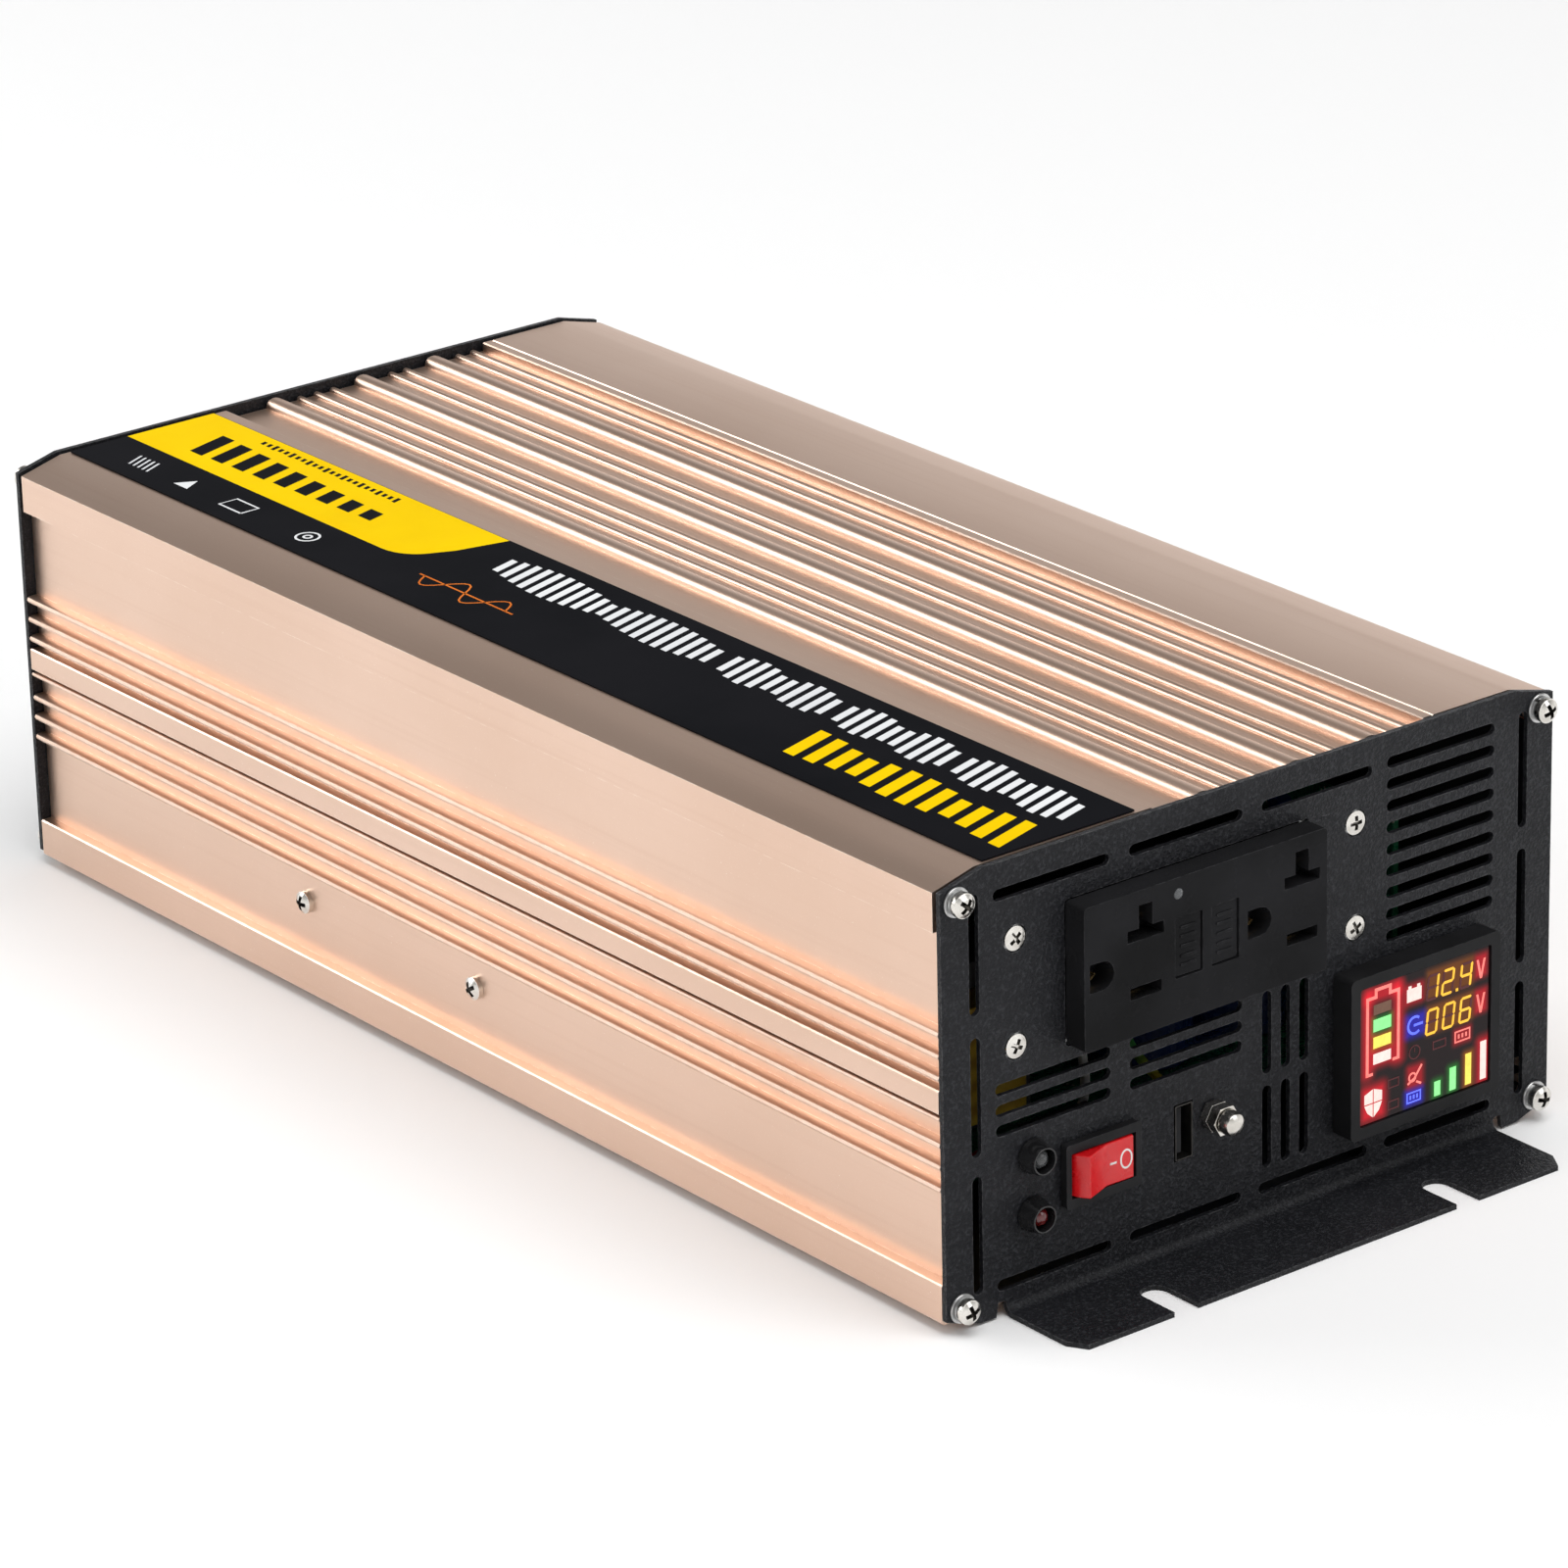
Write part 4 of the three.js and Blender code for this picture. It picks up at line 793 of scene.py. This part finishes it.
for side, fan in (("left", -FAN_OFFSET), ("right", FAN_OFFSET)):
    for index, (du, dv) in enumerate(((-25, -25), (25, -25), (25, 25), (-25, 25))):
        centre = (fan + du, FAN_HEIGHT + dv)
        shape = Shape(on_rear)
        recessed_head(shape, centre, 0.05, 2.9, 1.9, turn=14 * index + 9)
        shape.rod(centre, SHANK, -24, 0.2)
        shape.rod(centre, 2.9, -23.9, -21.9, 6, bore=1.5)
        piece(f"{side}_fan_screw_{index + 1}", shape, ["nickel", "recess"])

# ---------- CAD nodes ----------
# Each look, the width of its rounded edges, and the nodes that have them.
for look, width, nodes in (
    ("anodised", 0, "case_body case_lid"),
    ("label_black", 0.06, "top_label"),
    ("powder_coat", 0.16, "front_panel rear_panel"),
    ("gloss_plastic", 0.3, "outlet_face test_button reset_button"),
    ("zinc", 0.1, "outlet_strap"),
    ("black_plastic", 0.3, "outlet_body"),
    ("black_plastic", 0.25, "display_bezel negative_insulator"),
    ("black_plastic", 0.2, "switch_housing"),
    ("black_plastic", 0.08, "usb_tongue"),
    ("black_plastic", 0.4, "negative_knob"),
    ("red_plastic", 0.4, "positive_knob"),
    ("red_plastic", 0.25, "positive_insulator"),
    ("smoked_glass", 0.1, "display_window"),
    ("board_green", 0.05, "display_board"),
    ("board_green", 0.1, "main_board"),
    ("lens_black", 0.1, "power_lamp_holder fault_lamp_holder"),
    ("clear_lens", 0.1, "power_lamp"),
    ("red_lens", 0.1, "fault_lamp"),
    ("dull_steel", 0.05, "usb_shell"),
    ("nickel", 0.12, "earth_stud earth_lock_nut earth_clamp_nut earth_cap_nut"),
    ("nickel", 0.1, "positive_washer negative_washer"),
    ("brass", 0.1, "positive_stud negative_stud"),
    ("copper", 0.15, "positive_bus_bar negative_bus_bar"),
    ("fan_plastic", 0.25, "left_fan_frame right_fan_frame"),
    ("fan_plastic", 0.15, "left_fan_rotor right_fan_rotor"),
    ("aluminium", 0.2, "heat_bar_left heat_bar_right"),
    ("yellow_tape", 0.3, "transformer_1 transformer_2 transformer_3"),
    ("sleeve", 0.5, "capacitor_bank"),
    ("fuse_green", 0.25, "fuse_bank"),
):
    for node in nodes.split():
        dress(node, look, width)
dress("switch_rocker", "red_plastic", 0.4, 3)

# ---------- display ----------
SEGMENTS = {"0": "abcdef", "1": "bc", "2": "abged", "4": "fgbc", "6": "afedcg"}
WINDOW_FACE = FRONT_Y - WINDOW_LOW.y        # a height out of the panel
ON_GLASS = (WINDOW_FACE + 0.01, WINDOW_FACE + 0.06)
DIGIT_WIDE, DIGIT_TALL, BAR = 3, 5.6, 0.62


def segment(u0, v0, u1, v1):
    """One bar of a digit, with pointed ends."""
    a, b = Vector((u0, v0)), Vector((u1, v1))
    along = (b - a).normalized()
    side = Vector((-along.y, along.x)) * BAR / 2
    tip = along * BAR / 2
    return (a, a + tip + side, b - tip + side, b, b - tip - side, a + tip - side)


def digit(shape, figure, u, v):
    """A seven-bar figure that leans a little; skin 0 is lit and skin 1 isn't."""
    lean = 0.12
    wide, tall, mid = DIGIT_WIDE, DIGIT_TALL, DIGIT_TALL / 2
    ends = {"a": (0, tall, wide, tall), "b": (wide, mid, wide, tall), "c": (wide, 0, wide, mid),
            "d": (0, 0, wide, 0), "e": (0, 0, 0, mid), "f": (0, mid, 0, tall),
            "g": (0, mid, wide, mid)}
    for name, bar in ends.items():
        shape.prism([(u + x + lean * y, v + y) for x, y in segment(*bar)], *ON_GLASS,
                    int(name not in SEGMENTS[figure]))


def letter_v(shape, u, v):
    wide, tall, half = 2.1, 4.6, 0.3
    foot = u + wide / 2
    for top in (u, u + wide):
        shape.prism([(foot - half, v), (foot + half, v), (top + half, v + tall),
                     (top - half, v + tall)], *ON_GLASS)


digits = Shape(on_front)
for v, figures in ((41.8, (("1", 132.4), ("2", 137), ("4", 142.4))),
                   (33.6, (("0", 132.3), ("0", 137.3), ("6", 142.3)))):
    for figure, u in figures:
        digit(digits, figure, u, v)
digits.block(141.2, 141.9, 41.5, 42.2, *ON_GLASS)
piece("display_digits", digits, ["lit_amber", "dim_red"])

units = Shape(on_front)
for v in (42.6, 34.3):
    letter_v(units, 147.7, v)
piece("display_units", units, ["lit_red"])

battery = Shape(on_front)
for outline in (
    [(114.5, 28.5), (115.3, 28.5), (115.3, 46.6), (117.8, 46.6), (117.8, 48.3), (121.2, 48.3),
     (121.2, 46.6), (123.7, 46.6), (123.7, 31.1), (122.4, 31.1), (122.4, 30.4), (124.5, 30.4),
     (124.5, 47.4), (122, 47.4), (122, 49.1), (117, 49.1), (117, 47.4), (114.5, 47.4)],
    [(114.5, 28.5), (116.6, 28.5), (116.6, 29.2), (114.5, 29.2)],
):
    battery.prism(outline, *ON_GLASS)
for shade, (low, high) in enumerate(((42.8, 45.2), (38.8, 41.7), (34.8, 37.5), (31, 33.5))):
    battery.block(116.7, 121.9, low, high, *ON_GLASS, shade + 1)
piece("display_battery", battery,
      ["lit_red", "dim_brown", "lit_green", "lit_yellow", "lit_white_red"])

levels = Shape(on_front)
for u0, u1, top, shade in ((135, 136.8, 21.5, 0), (139.6, 141.5, 23.5, 0),
                           (144.3, 146.1, 25.5, 1), (148.8, 150.6, 27.2, 2)):
    levels.block(u0, u1, 18, top, *ON_GLASS, shade)
piece("display_levels", levels, ["lit_green", "lit_yellow", "lit_white_red"])


def frame_outline(shape, u0, u1, v0, v1, line, skin):
    for a0, a1, b0, b1 in ((u0, u1, v0, v0 + line), (u0, u1, v1 - line, v1),
                           (u0, u0 + line, v0 + line, v1 - line),
                           (u1 - line, u1, v0 + line, v1 - line)):
        shape.block(a0, a1, b0, b1, *ON_GLASS, skin)


icons = Shape(on_front)
RED, PALE, BLUE, DIM, DIM_TOO = range(5)
# Shield, in four lit quarters.
SHIELD = 116.75
for flip in (-1, 1):
    inner, outer = SHIELD + flip * 0.15, SHIELD + flip * 2.6
    icons.prism([(inner, 22), (outer, 22), (outer, 24.3), (inner, 25.2)][::flip],
                *ON_GLASS, PALE)
    icons.prism([(inner, 18.5), (SHIELD + flip * 1.7, 19.8), (outer, 21.7),
                 (inner, 21.7)][::flip], *ON_GLASS, PALE)
# Battery, with two posts.
icons.block(126.6, 130.9, 42.9, 46, *ON_GLASS, PALE)
for u in (127, 129.6):
    icons.block(u, u + 0.9, 46, 46.7, *ON_GLASS, PALE)
# Round arrow.
ribbon(icons, arc((129, 37), (2, 2), 50, 311, 20), 0.6, *ON_GLASS, BLUE)
icons.block(128.7, 131.4, 36.7, 37.3, *ON_GLASS, BLUE)
# Dim clock.
ribbon(icons, arc((129, 30.5), (1.6, 1.6), 0, 361, 24), 0.3, *ON_GLASS, DIM)
icons.block(128.9, 129.1, 30.5, 31.6, *ON_GLASS, DIM)
# Flow arrow with a node.
ribbon(icons, [(127, 23.2), (129, 24.2), (131.2, 27)], 0.55, *ON_GLASS, RED)
ribbon(icons, arc((128.4, 24.6), (1, 1), 0, 361, 30), 0.45, *ON_GLASS, RED)
ribbon(icons, [(129.6, 23.3), (131, 22.5)], 0.5, *ON_GLASS, RED)
# Two framed marks that are lit, and three frames that aren't.
frame_outline(icons, 141, 145.7, 29, 31.8, 0.35, RED)
frame_outline(icons, 126.7, 131, 18.5, 21.1, 0.35, BLUE)
for u in (142, 143.1, 144.2):
    icons.block(u, u + 0.5, 29.9, 30.9, *ON_GLASS, RED)
for u in (127.6, 128.6, 129.6):
    icons.block(u, u + 0.5, 19.3, 20.3, *ON_GLASS, BLUE)
frame_outline(icons, 121, 124.4, 18.7, 20.9, 0.3, DIM_TOO)
frame_outline(icons, 121, 124.4, 23.9, 26.1, 0.3, DIM)
frame_outline(icons, 134.4, 138.4, 29.3, 31.4, 0.3, DIM)
piece("display_icons", icons, ["lit_red", "lit_white_red", "lit_blue", "dim_red", "dim_red"])

# ---------- outlet ----------
OUTLET_FRONT = FRONT_Y - FACE_LOW.y
pilot = Shape(on_front)
pilot.lathe([(0.01, OUTLET_FRONT + 0.35), (0.7, OUTLET_FRONT + 0.28),
             (1.2, OUTLET_FRONT + 0.05), (1.4, OUTLET_FRONT - 0.2), (0.01, OUTLET_FRONT - 0.2)],
            (60.3, 87.4), 20)
piece("outlet_pilot", pilot, ["clear_lens"])

contacts = Shape(on_front)
for u in (51.1, 95.5):
    v = (FACE_LOW.z + FACE_HIGH.z) / 2
    for rise in (9.8, -6.6):
        for gap in (-1.15, 0.75):
            low = v + rise + gap
            contacts.block(u - 3.2, u + 3.2, low, low + 0.4, 0.35, 1.6)
    contacts.rod((u - 12.6, v), 2.5, 0.35, 1.8, 20, bore=1.9, start=30, sweep=300)
piece("outlet_contacts", contacts, ["brass"])

for name, u in (("test_button", 63.25), ("reset_button", 73.55)):
    ridges = Shape(on_front)
    proud = OUTLET_FRONT - 0.5
    for v in (70.6, 72.6, 74.9, 77.2, 79.2):
        ridges.prism(rounded(u - 2.2, u + 2.2, v - 0.35, v + 0.35, 0.3), proud - 0.1,
                     proud + 0.3)
    piece(name + "_ridges", ridges, ["gloss_plastic"], body=name, width=0.08)

# ---------- switch marks ----------
HINGE = Vector((-45.2, -175, 28.2))   # the rocker's axis
TILT = radians(10)
VALLEY = 3.5                            # from the axis out to the face's valley
FLARE = 0.015                           # the face's rise over a plain slope, along u
MARK = (-0.15, 0.07)


def on_rocker(u, v, out=0):
    """On the rocker's right half: u from its valley, v up, out of its surface."""
    lean = Matrix.Rotation(-TILT, 3, "Z") @ Vector((u, -out - FLARE * u, 0))
    local = Vector((lean.x, lean.y - VALLEY, v))
    return tuple(HINGE + Matrix.Rotation(TILT, 3, "Z") @ local)


marks = Shape(on_rocker)
ribbon(marks, arc((5.3, 0), (1.5, 2.1), 0, 361, 15), 0.42, *MARK)
marks.block(0.8, 2.6, -0.28, 0.2, *MARK)
piece("switch_marks", marks, ["mark_white"], body="rocker")

# ---------- top label ----------
INK = (-0.02, 0.05)             # how far the print reaches into and out of the label
EDGE = LABEL_HIGH.x - 0.2
label = Shape(on_top)
field = [(EDGE, LABEL_HIGH.y - 0.2), (-57, LABEL_HIGH.y - 0.2),
         *arc((-47.5, 66), (-9.5, -11), 0, 71, 10), (-45, 53), (EDGE, 50)]
label.prism(field, -0.02, 0.03)
piece("label_field", label, ["label_yellow"])


def bars(shape, start, count, pitch, width, axis, heights, high=0.05):
    """A row of leaning bars along the label, like a level meter."""
    for i in range(count):
        half = heights(i) / 2
        v, lean = start + i * pitch, 0.3 * half
        shape.prism([(axis - half, v - lean), (axis - half, v + width - lean),
                     (axis + half, v + width + lean), (axis + half, v + lean)],
                    INK[0], high)


wave = Shape(on_top)
for start, count in ((-166, 10), (-125, 10), (-84, 10), (-42, 21)):
    bars(wave, start, count, 3.9, 2.1, -42.5,
         lambda i, n=count: 6.5 + 6.5 * abs(sin(pi * (i + 0.5) / n * 2)))
piece("label_wave_bars", wave, ["label_white"])
bold = Shape(on_top)
bars(bold, -168, 12, 6.3, 3.7, -59.5, lambda i: 8 + 6 * abs(cos(pi * i / 5.5)))
piece("label_bold_bars", bold, ["label_yellow"])
rising = Shape(on_top)
bars(rising, 84, 9, 8.3, 4.9, -45.6, lambda i: 5 + 0.9 * i, high=0.08)
bars(rising, 90, 24, 2.4, 1.2, -35.2, lambda i: 1.7 + 0.9 * (i % 3 == 0), high=0.08)
piece("label_rising_bars", rising, ["label_black"])

SINE_U = -60.3
sign = Shape(on_top)
ribbon(sign, [(SINE_U, 46), (SINE_U, 10)], 0.5, *INK)
curve = [(SINE_U - 4.2 * sin(2 * pi * t / 12), 44 - 1.3 * t) for t in range(25)]
ribbon(sign, curve, 0.45, *INK)
piece("label_sine_sign", sign, ["label_orange"])

# Plain signs: a target, a frame, a triangle and a row of strokes.
symbols = Shape(on_top)
for radius in (2.9, 1):
    ribbon(symbols, arc((-65.4, 84), (radius, radius), 0, 361, 24), 0.6, *INK)
ribbon(symbols, [(-68, 108), (-68, 117), (-62.8, 117), (-62.8, 108),
                 (-68, 108)], 0.6, *INK)
symbols.prism([(-67.8, 131), (-67.8, 136.6), (-62.8, 133.8)], *INK)
for i in range(5):
    ribbon(symbols, [(-68, 148 + 1.9 * i), (-62.6, 150.6 + 1.9 * i)], 0.55, *INK)
piece("label_symbols", symbols, ["label_white"])

# ---------- power parts inside the case ----------
BAR_FACE = 75.9                     # inner face of a heat bar, from the middle


def on_bar(side):
    """y along the heat bar, height from the floor, out towards the middle of the case."""
    return lambda u, v, out=0: (side * (BAR_FACE - out), u, v)


for side, word in ((-1, "left"), (1, "right")):
    row, leads, screws = (Shape(on_bar(side)) for _ in range(3))
    for y in range(-108, 61, 24):
        row.prism([(y - 7.8, 20), (y + 7.8, 20), (y + 7.8, 38.5), (y + 6.3, 40), (y - 6.3, 40),
                   (y - 7.8, 38.5)], 0.2, 4.9)
        for lead in (-5.4, 0, 5.4):
            leads.block(y + lead - 0.7, y + lead + 0.7, BOARD_TOP, 20.5, 2.2, 2.8)
        recessed_head(screws, (y, 34.5), 4.92, 3, 1.8, turn=y)
    piece(f"transistors_{word}", row, ["black_plastic"], width=0.3)
    piece(f"transistor_leads_{word}", leads, ["zinc"])
    piece(f"transistor_screws_{word}", screws, ["nickel", "recess"])

# Wound ring choke on the board.
CHOKE = Vector((30, -22, BOARD_TOP + 9.5))
core = Shape()
core.lathe([(11 + 4 * cos(a), CHOKE.z + 6 * sin(a))
            for a in (2 * pi * k / 10 for k in range(10))], (CHOKE.x, CHOKE.y), 32)
piece("choke_core", core, ["ferrite"])
turns = Shape()
TURNS = 34
path = []
for k in range(TURNS * 12 + 1):
    around = 0.92 * 2 * pi * k / (TURNS * 12)
    across = 2 * pi * k / 12
    r = 11 + 5.2 * cos(across)
    path.append((CHOKE.x + r * cos(around), CHOKE.y + r * sin(around),
                 CHOKE.z + 7.2 * sin(across)))
turns.tube(path, 0.75, 6)
piece("choke_winding", turns, ["copper"])

# Aluminium tops of the reservoir cans, scored with a cross, and a row of smaller input cans.
CAN_TOP = box_mm("capacitor_bank")[1].z
tops = Shape()
for x in (22, 50):
    for y in (-112, -82):
        tops.rod((x, y), 10.6, CAN_TOP + 0.02, CAN_TOP + 0.3, 32)
        for a, b in ((0.25, 7.5), (7.5, 0.25)):
            tops.block(x - a, x + a, y - b, y + b, CAN_TOP + 0.3, CAN_TOP + 0.5)
piece("reservoir_tops", tops, ["aluminium"])
cans = Shape(on_board)
for x in range(-44, 45, 18):
    cans.lathe([(0.01, 0.3), (7.9, 0.3), (8, 1.2), (8, 2.2), (7.6, 2.6), (8, 3),
                (8, 31), (7.4, 31.7), (6.3, 32), (0.01, 32)], (x, 34), 24)
piece("input_cans", cans, ["sleeve"])

# Upright control board at the right, with its parts on the side towards the middle.
CONTROL_THICK = 1.6
CONTROL_FACE = 67.6 - CONTROL_THICK


def on_control(u, v, out=0):
    return (CONTROL_FACE - out, u, v)


control = Shape(on_control)
control.block(-148, -60, 14, 70, -CONTROL_THICK, 0)
piece("control_board", control, ["board_green"], width=0.1)
chips = Shape(on_control)
for u, v, wide, tall, thick in ((-132, 50, 18, 9, 2.4), (-104, 46, 12, 12, 1.6),
                                (-84, 58, 9, 5, 1.8), (-120, 28, 10, 6, 1.8),
                                (-76, 34, 14, 7, 3), (-142, 24, 6, 10, 2.2)):
    chips.block(u, u + wide, v, v + tall, 0.2, thick)
    pins = int(wide / 2.5)
    for k in range(pins):
        at = u + (k + 0.5) * wide / pins
        for foot in (v - 1.1, v + tall + 0.1):
            chips.block(at - 0.3, at + 0.3, foot, foot + 1, 0.02, 0.5, 1)
piece("control_chips", chips, ["black_plastic", "zinc"])
small = Shape(on_control)
for u, v, r, tall in ((-140, 62, 2.5, 3.1), (-112, 62, 2.5, 3.1), (-96, 28, 2, 3.1),
                      (-70, 52, 2.5, 3.1), (-126, 20, 2, 3.1)):
    small.lathe([(0.01, 0.1), (r, 0.1), (r, tall), (r - 0.4, tall + 0.4), (0.01, tall + 0.4)],
                (u, v), 16)
piece("control_capacitors", small, ["sleeve"])

# Small parts on the main board, in the free strip behind the fuses.
parts = Shape(on_board)
for x, y, wide, deep, tall in ((-66, 84, 10, 14, 9), (-48, 96, 16, 8, 7), (44, 94, 14, 10, 8),
                               (62, 80, 8, 16, 9), (-4, 92, 9, 9, 6)):
    parts.block(x, x + wide, y, y + deep, 0.2, tall)
piece("board_relays", parts, ["white_plastic"], width=0.3)

# ---------- wiring ----------
WIRING = {
    "outlet_live": ("wire_black", [(-12, -148, 70), (-10, -143, 50), (-6, -140, 26),
                                   (-6, -134, 13.5)]),
    "outlet_neutral": ("wire_white", [(-24, -148, 70), (-23, -143, 48), (-18, -140, 26),
                                      (-17, -134, 13.5)]),
    "outlet_earth": ("wire_green", [(-19, -148, 76), (-16, -144, 55), (-13.5, -150, 38),
                                    (-13, -165, 30)]),
    "switch_live": ("wire_red", [(-50, -159.5, 30), (-52, -152, 26), (-58, -142, 19),
                                 (-60, -134, 13.5)]),
    "switch_return": ("wire_black", [(-42, -159.5, 26), (-44, -152, 22), (-50, -142, 17),
                                     (-52, -134, 13.5)]),
}
for side, way in (("left", -1), ("right", 1)):
    for lead, look, x0, x1, x2, drop in (("plus", "wire_red", 22, 26, 30, 0),
                                         ("minus", "wire_black", 20, 23, 27, 1)):
        WIRING[f"{side}_fan_{lead}"] = (look, [
            (way * x0, 152, 38), (way * x1, 140, 30 - drop), (way * x2, 126, 20 - drop),
            (way * x2, 109, 13.5)])
for name, (look, route) in WIRING.items():
    wire = Shape()
    wire.tube(smooth_path(route), 1.1 if name.startswith(("outlet", "switch")) else 0.7)
    piece("wire_" + name, wire, [look])
ribbon_cable = Shape()
for k in range(8):
    ribbon_cable.tube(smooth_path([(52 + 1.1 * k, -166, 30), (53 + 1.1 * k, -158, 34),
                                   (58 + 0.6 * k, -152, 34 + 0.5 * k),
                                   (65.2, -146, 32 + 1.1 * k)]), 0.55, 6)
piece("display_ribbon", ribbon_cable, ["ribbon_grey"])

# ---------- rear panel ----------
HUB_FACE = box_mm("left_fan_rotor")[1].y - REAR_Y       # a height out of the panel
for side, fan in (("left", -FAN_OFFSET), ("right", FAN_OFFSET)):
    hub = Shape(on_rear)
    hub.rod((fan, FAN_HEIGHT), 10.5, HUB_FACE + 0.01, HUB_FACE + 0.07, 32)
    for k in range(3):
        angle = radians(90 + 120 * k)
        at = (fan + 6 * cos(angle), FAN_HEIGHT + 6 * sin(angle))
        hub.rod(at, 1.6, HUB_FACE + 0.07, HUB_FACE + 0.12, skin=1)
    piece(side + "_fan_sticker", hub, ["sticker", "mark_white"], body=side + "_rotor")
poles = Shape(on_rear)
POLE_HEIGHT = 20.5
for u in (11.5, -11.5):
    poles.block(u - 2.6, u + 2.6, POLE_HEIGHT - 0.5, POLE_HEIGHT + 0.5, -0.02, 0.06)
for low, high in ((POLE_HEIGHT - 2.6, POLE_HEIGHT - 0.5), (POLE_HEIGHT + 0.5, POLE_HEIGHT + 2.6)):
    poles.block(11, 12, low, high, -0.02, 0.06)
piece("pole_marks", poles, ["mark_white"])

# ---------- stage, camera and light ----------
floor_mesh = bpy.data.meshes.new("floor")
REACH = 14.0
floor_mesh.from_pydata([(-REACH, -REACH, 0), (REACH, -REACH, 0), (REACH, REACH, 0),
                        (-REACH, REACH, 0)], [], [(0, 1, 2, 3)])
floor = place_object("floor", floor_mesh)
pale = Look("pale_floor")
pale.set(Base_Color=pale.mix(pale.noise(3.0), (0.93, 0.93, 0.93), (0.95, 0.95, 0.95)),
         Roughness=0.75)
# Far from the lights the floor glows a little, so that it stays pale.
away = pale.node("ShaderNodeVectorMath", "Value", {0: pale.spot}, operation="LENGTH")
pale.set(Emission_Color=(1, 1, 1), Emission_Strength=pale.between(away, 1.0, 3.6, 0.0, 0.5))
floor_mesh.materials.append(pale.material)


def studio_world(horizon, zenith, end):
    """Soft surrounding light, bright at the horizon and dimming up to the end height."""
    world = bpy.data.worlds.new("studio")
    bpy.context.scene.world = world
    world.use_nodes = True
    nodes, links = world.node_tree.nodes, world.node_tree.links
    spot = nodes.new("ShaderNodeTexCoord")
    split = nodes.new("ShaderNodeSeparateXYZ")
    fade = nodes.new("ShaderNodeMapRange")
    fade.interpolation_type = "SMOOTHSTEP"
    for key, value in (("From Min", 0.0), ("From Max", end), ("To Min", horizon),
                       ("To Max", zenith)):
        fade.inputs[key].default_value = value
    links.new(spot.outputs["Generated"], split.inputs[0])
    links.new(split.outputs["Z"], fade.inputs["Value"])
    links.new(fade.outputs[0], nodes["Background"].inputs["Strength"])
    nodes["Background"].inputs["Color"].default_value = (1, 1, 1, 1)


def area_light(name, direction, distance, size, power):
    """A soft box in that direction from the object, facing it."""
    lamp = bpy.data.lights.new(name, "AREA")
    lamp.shape = "RECTANGLE"
    lamp.size, lamp.size_y = size
    lamp.energy = power
    obj = place_object(name, lamp)
    out = Vector(direction).normalized()
    obj.location = Vector((0, 0, 0.05)) + out * distance
    obj.rotation_mode = "QUATERNION"
    obj.rotation_quaternion = (-out).to_track_quat("-Z", "Y")


studio_world(1.06, 0.1, 0.7)
area_light("key_light", (-0.52, 0.73, 0.42), 2.2, (1.5, 0.7), 18)
area_light("front_light", (0.35, -0.8, 0.55), 2.4, (1.2, 1.2), 8)
area_light("top_light", (0.0, -0.25, 1.0), 3.4, (3.4, 3.4), 112)

camera_data = bpy.data.cameras.new("camera")
camera_data.lens = 169.98
camera_data.sensor_width = 36.0
camera_data.clip_start = 0.1
camera_data.clip_end = 60.0
camera = place_object("camera", camera_data)
AZIMUTH, ELEVATION, ROLL = radians(-37.755), radians(21.889), radians(-1.438)
STAND = (-0.97780, -1.27402, 0.69547)
ahead = Vector((-sin(AZIMUTH) * cos(ELEVATION), cos(AZIMUTH) * cos(ELEVATION),
                -sin(ELEVATION)))
level = ahead.to_track_quat("-Z", "Y").to_matrix()
camera.matrix_world = (Matrix.Translation(STAND)
                       @ (level @ Matrix.Rotation(ROLL, 3, "Z")).to_4x4())
bpy.context.scene.camera = camera
bpy.context.scene.view_settings.view_transform = "Standard"
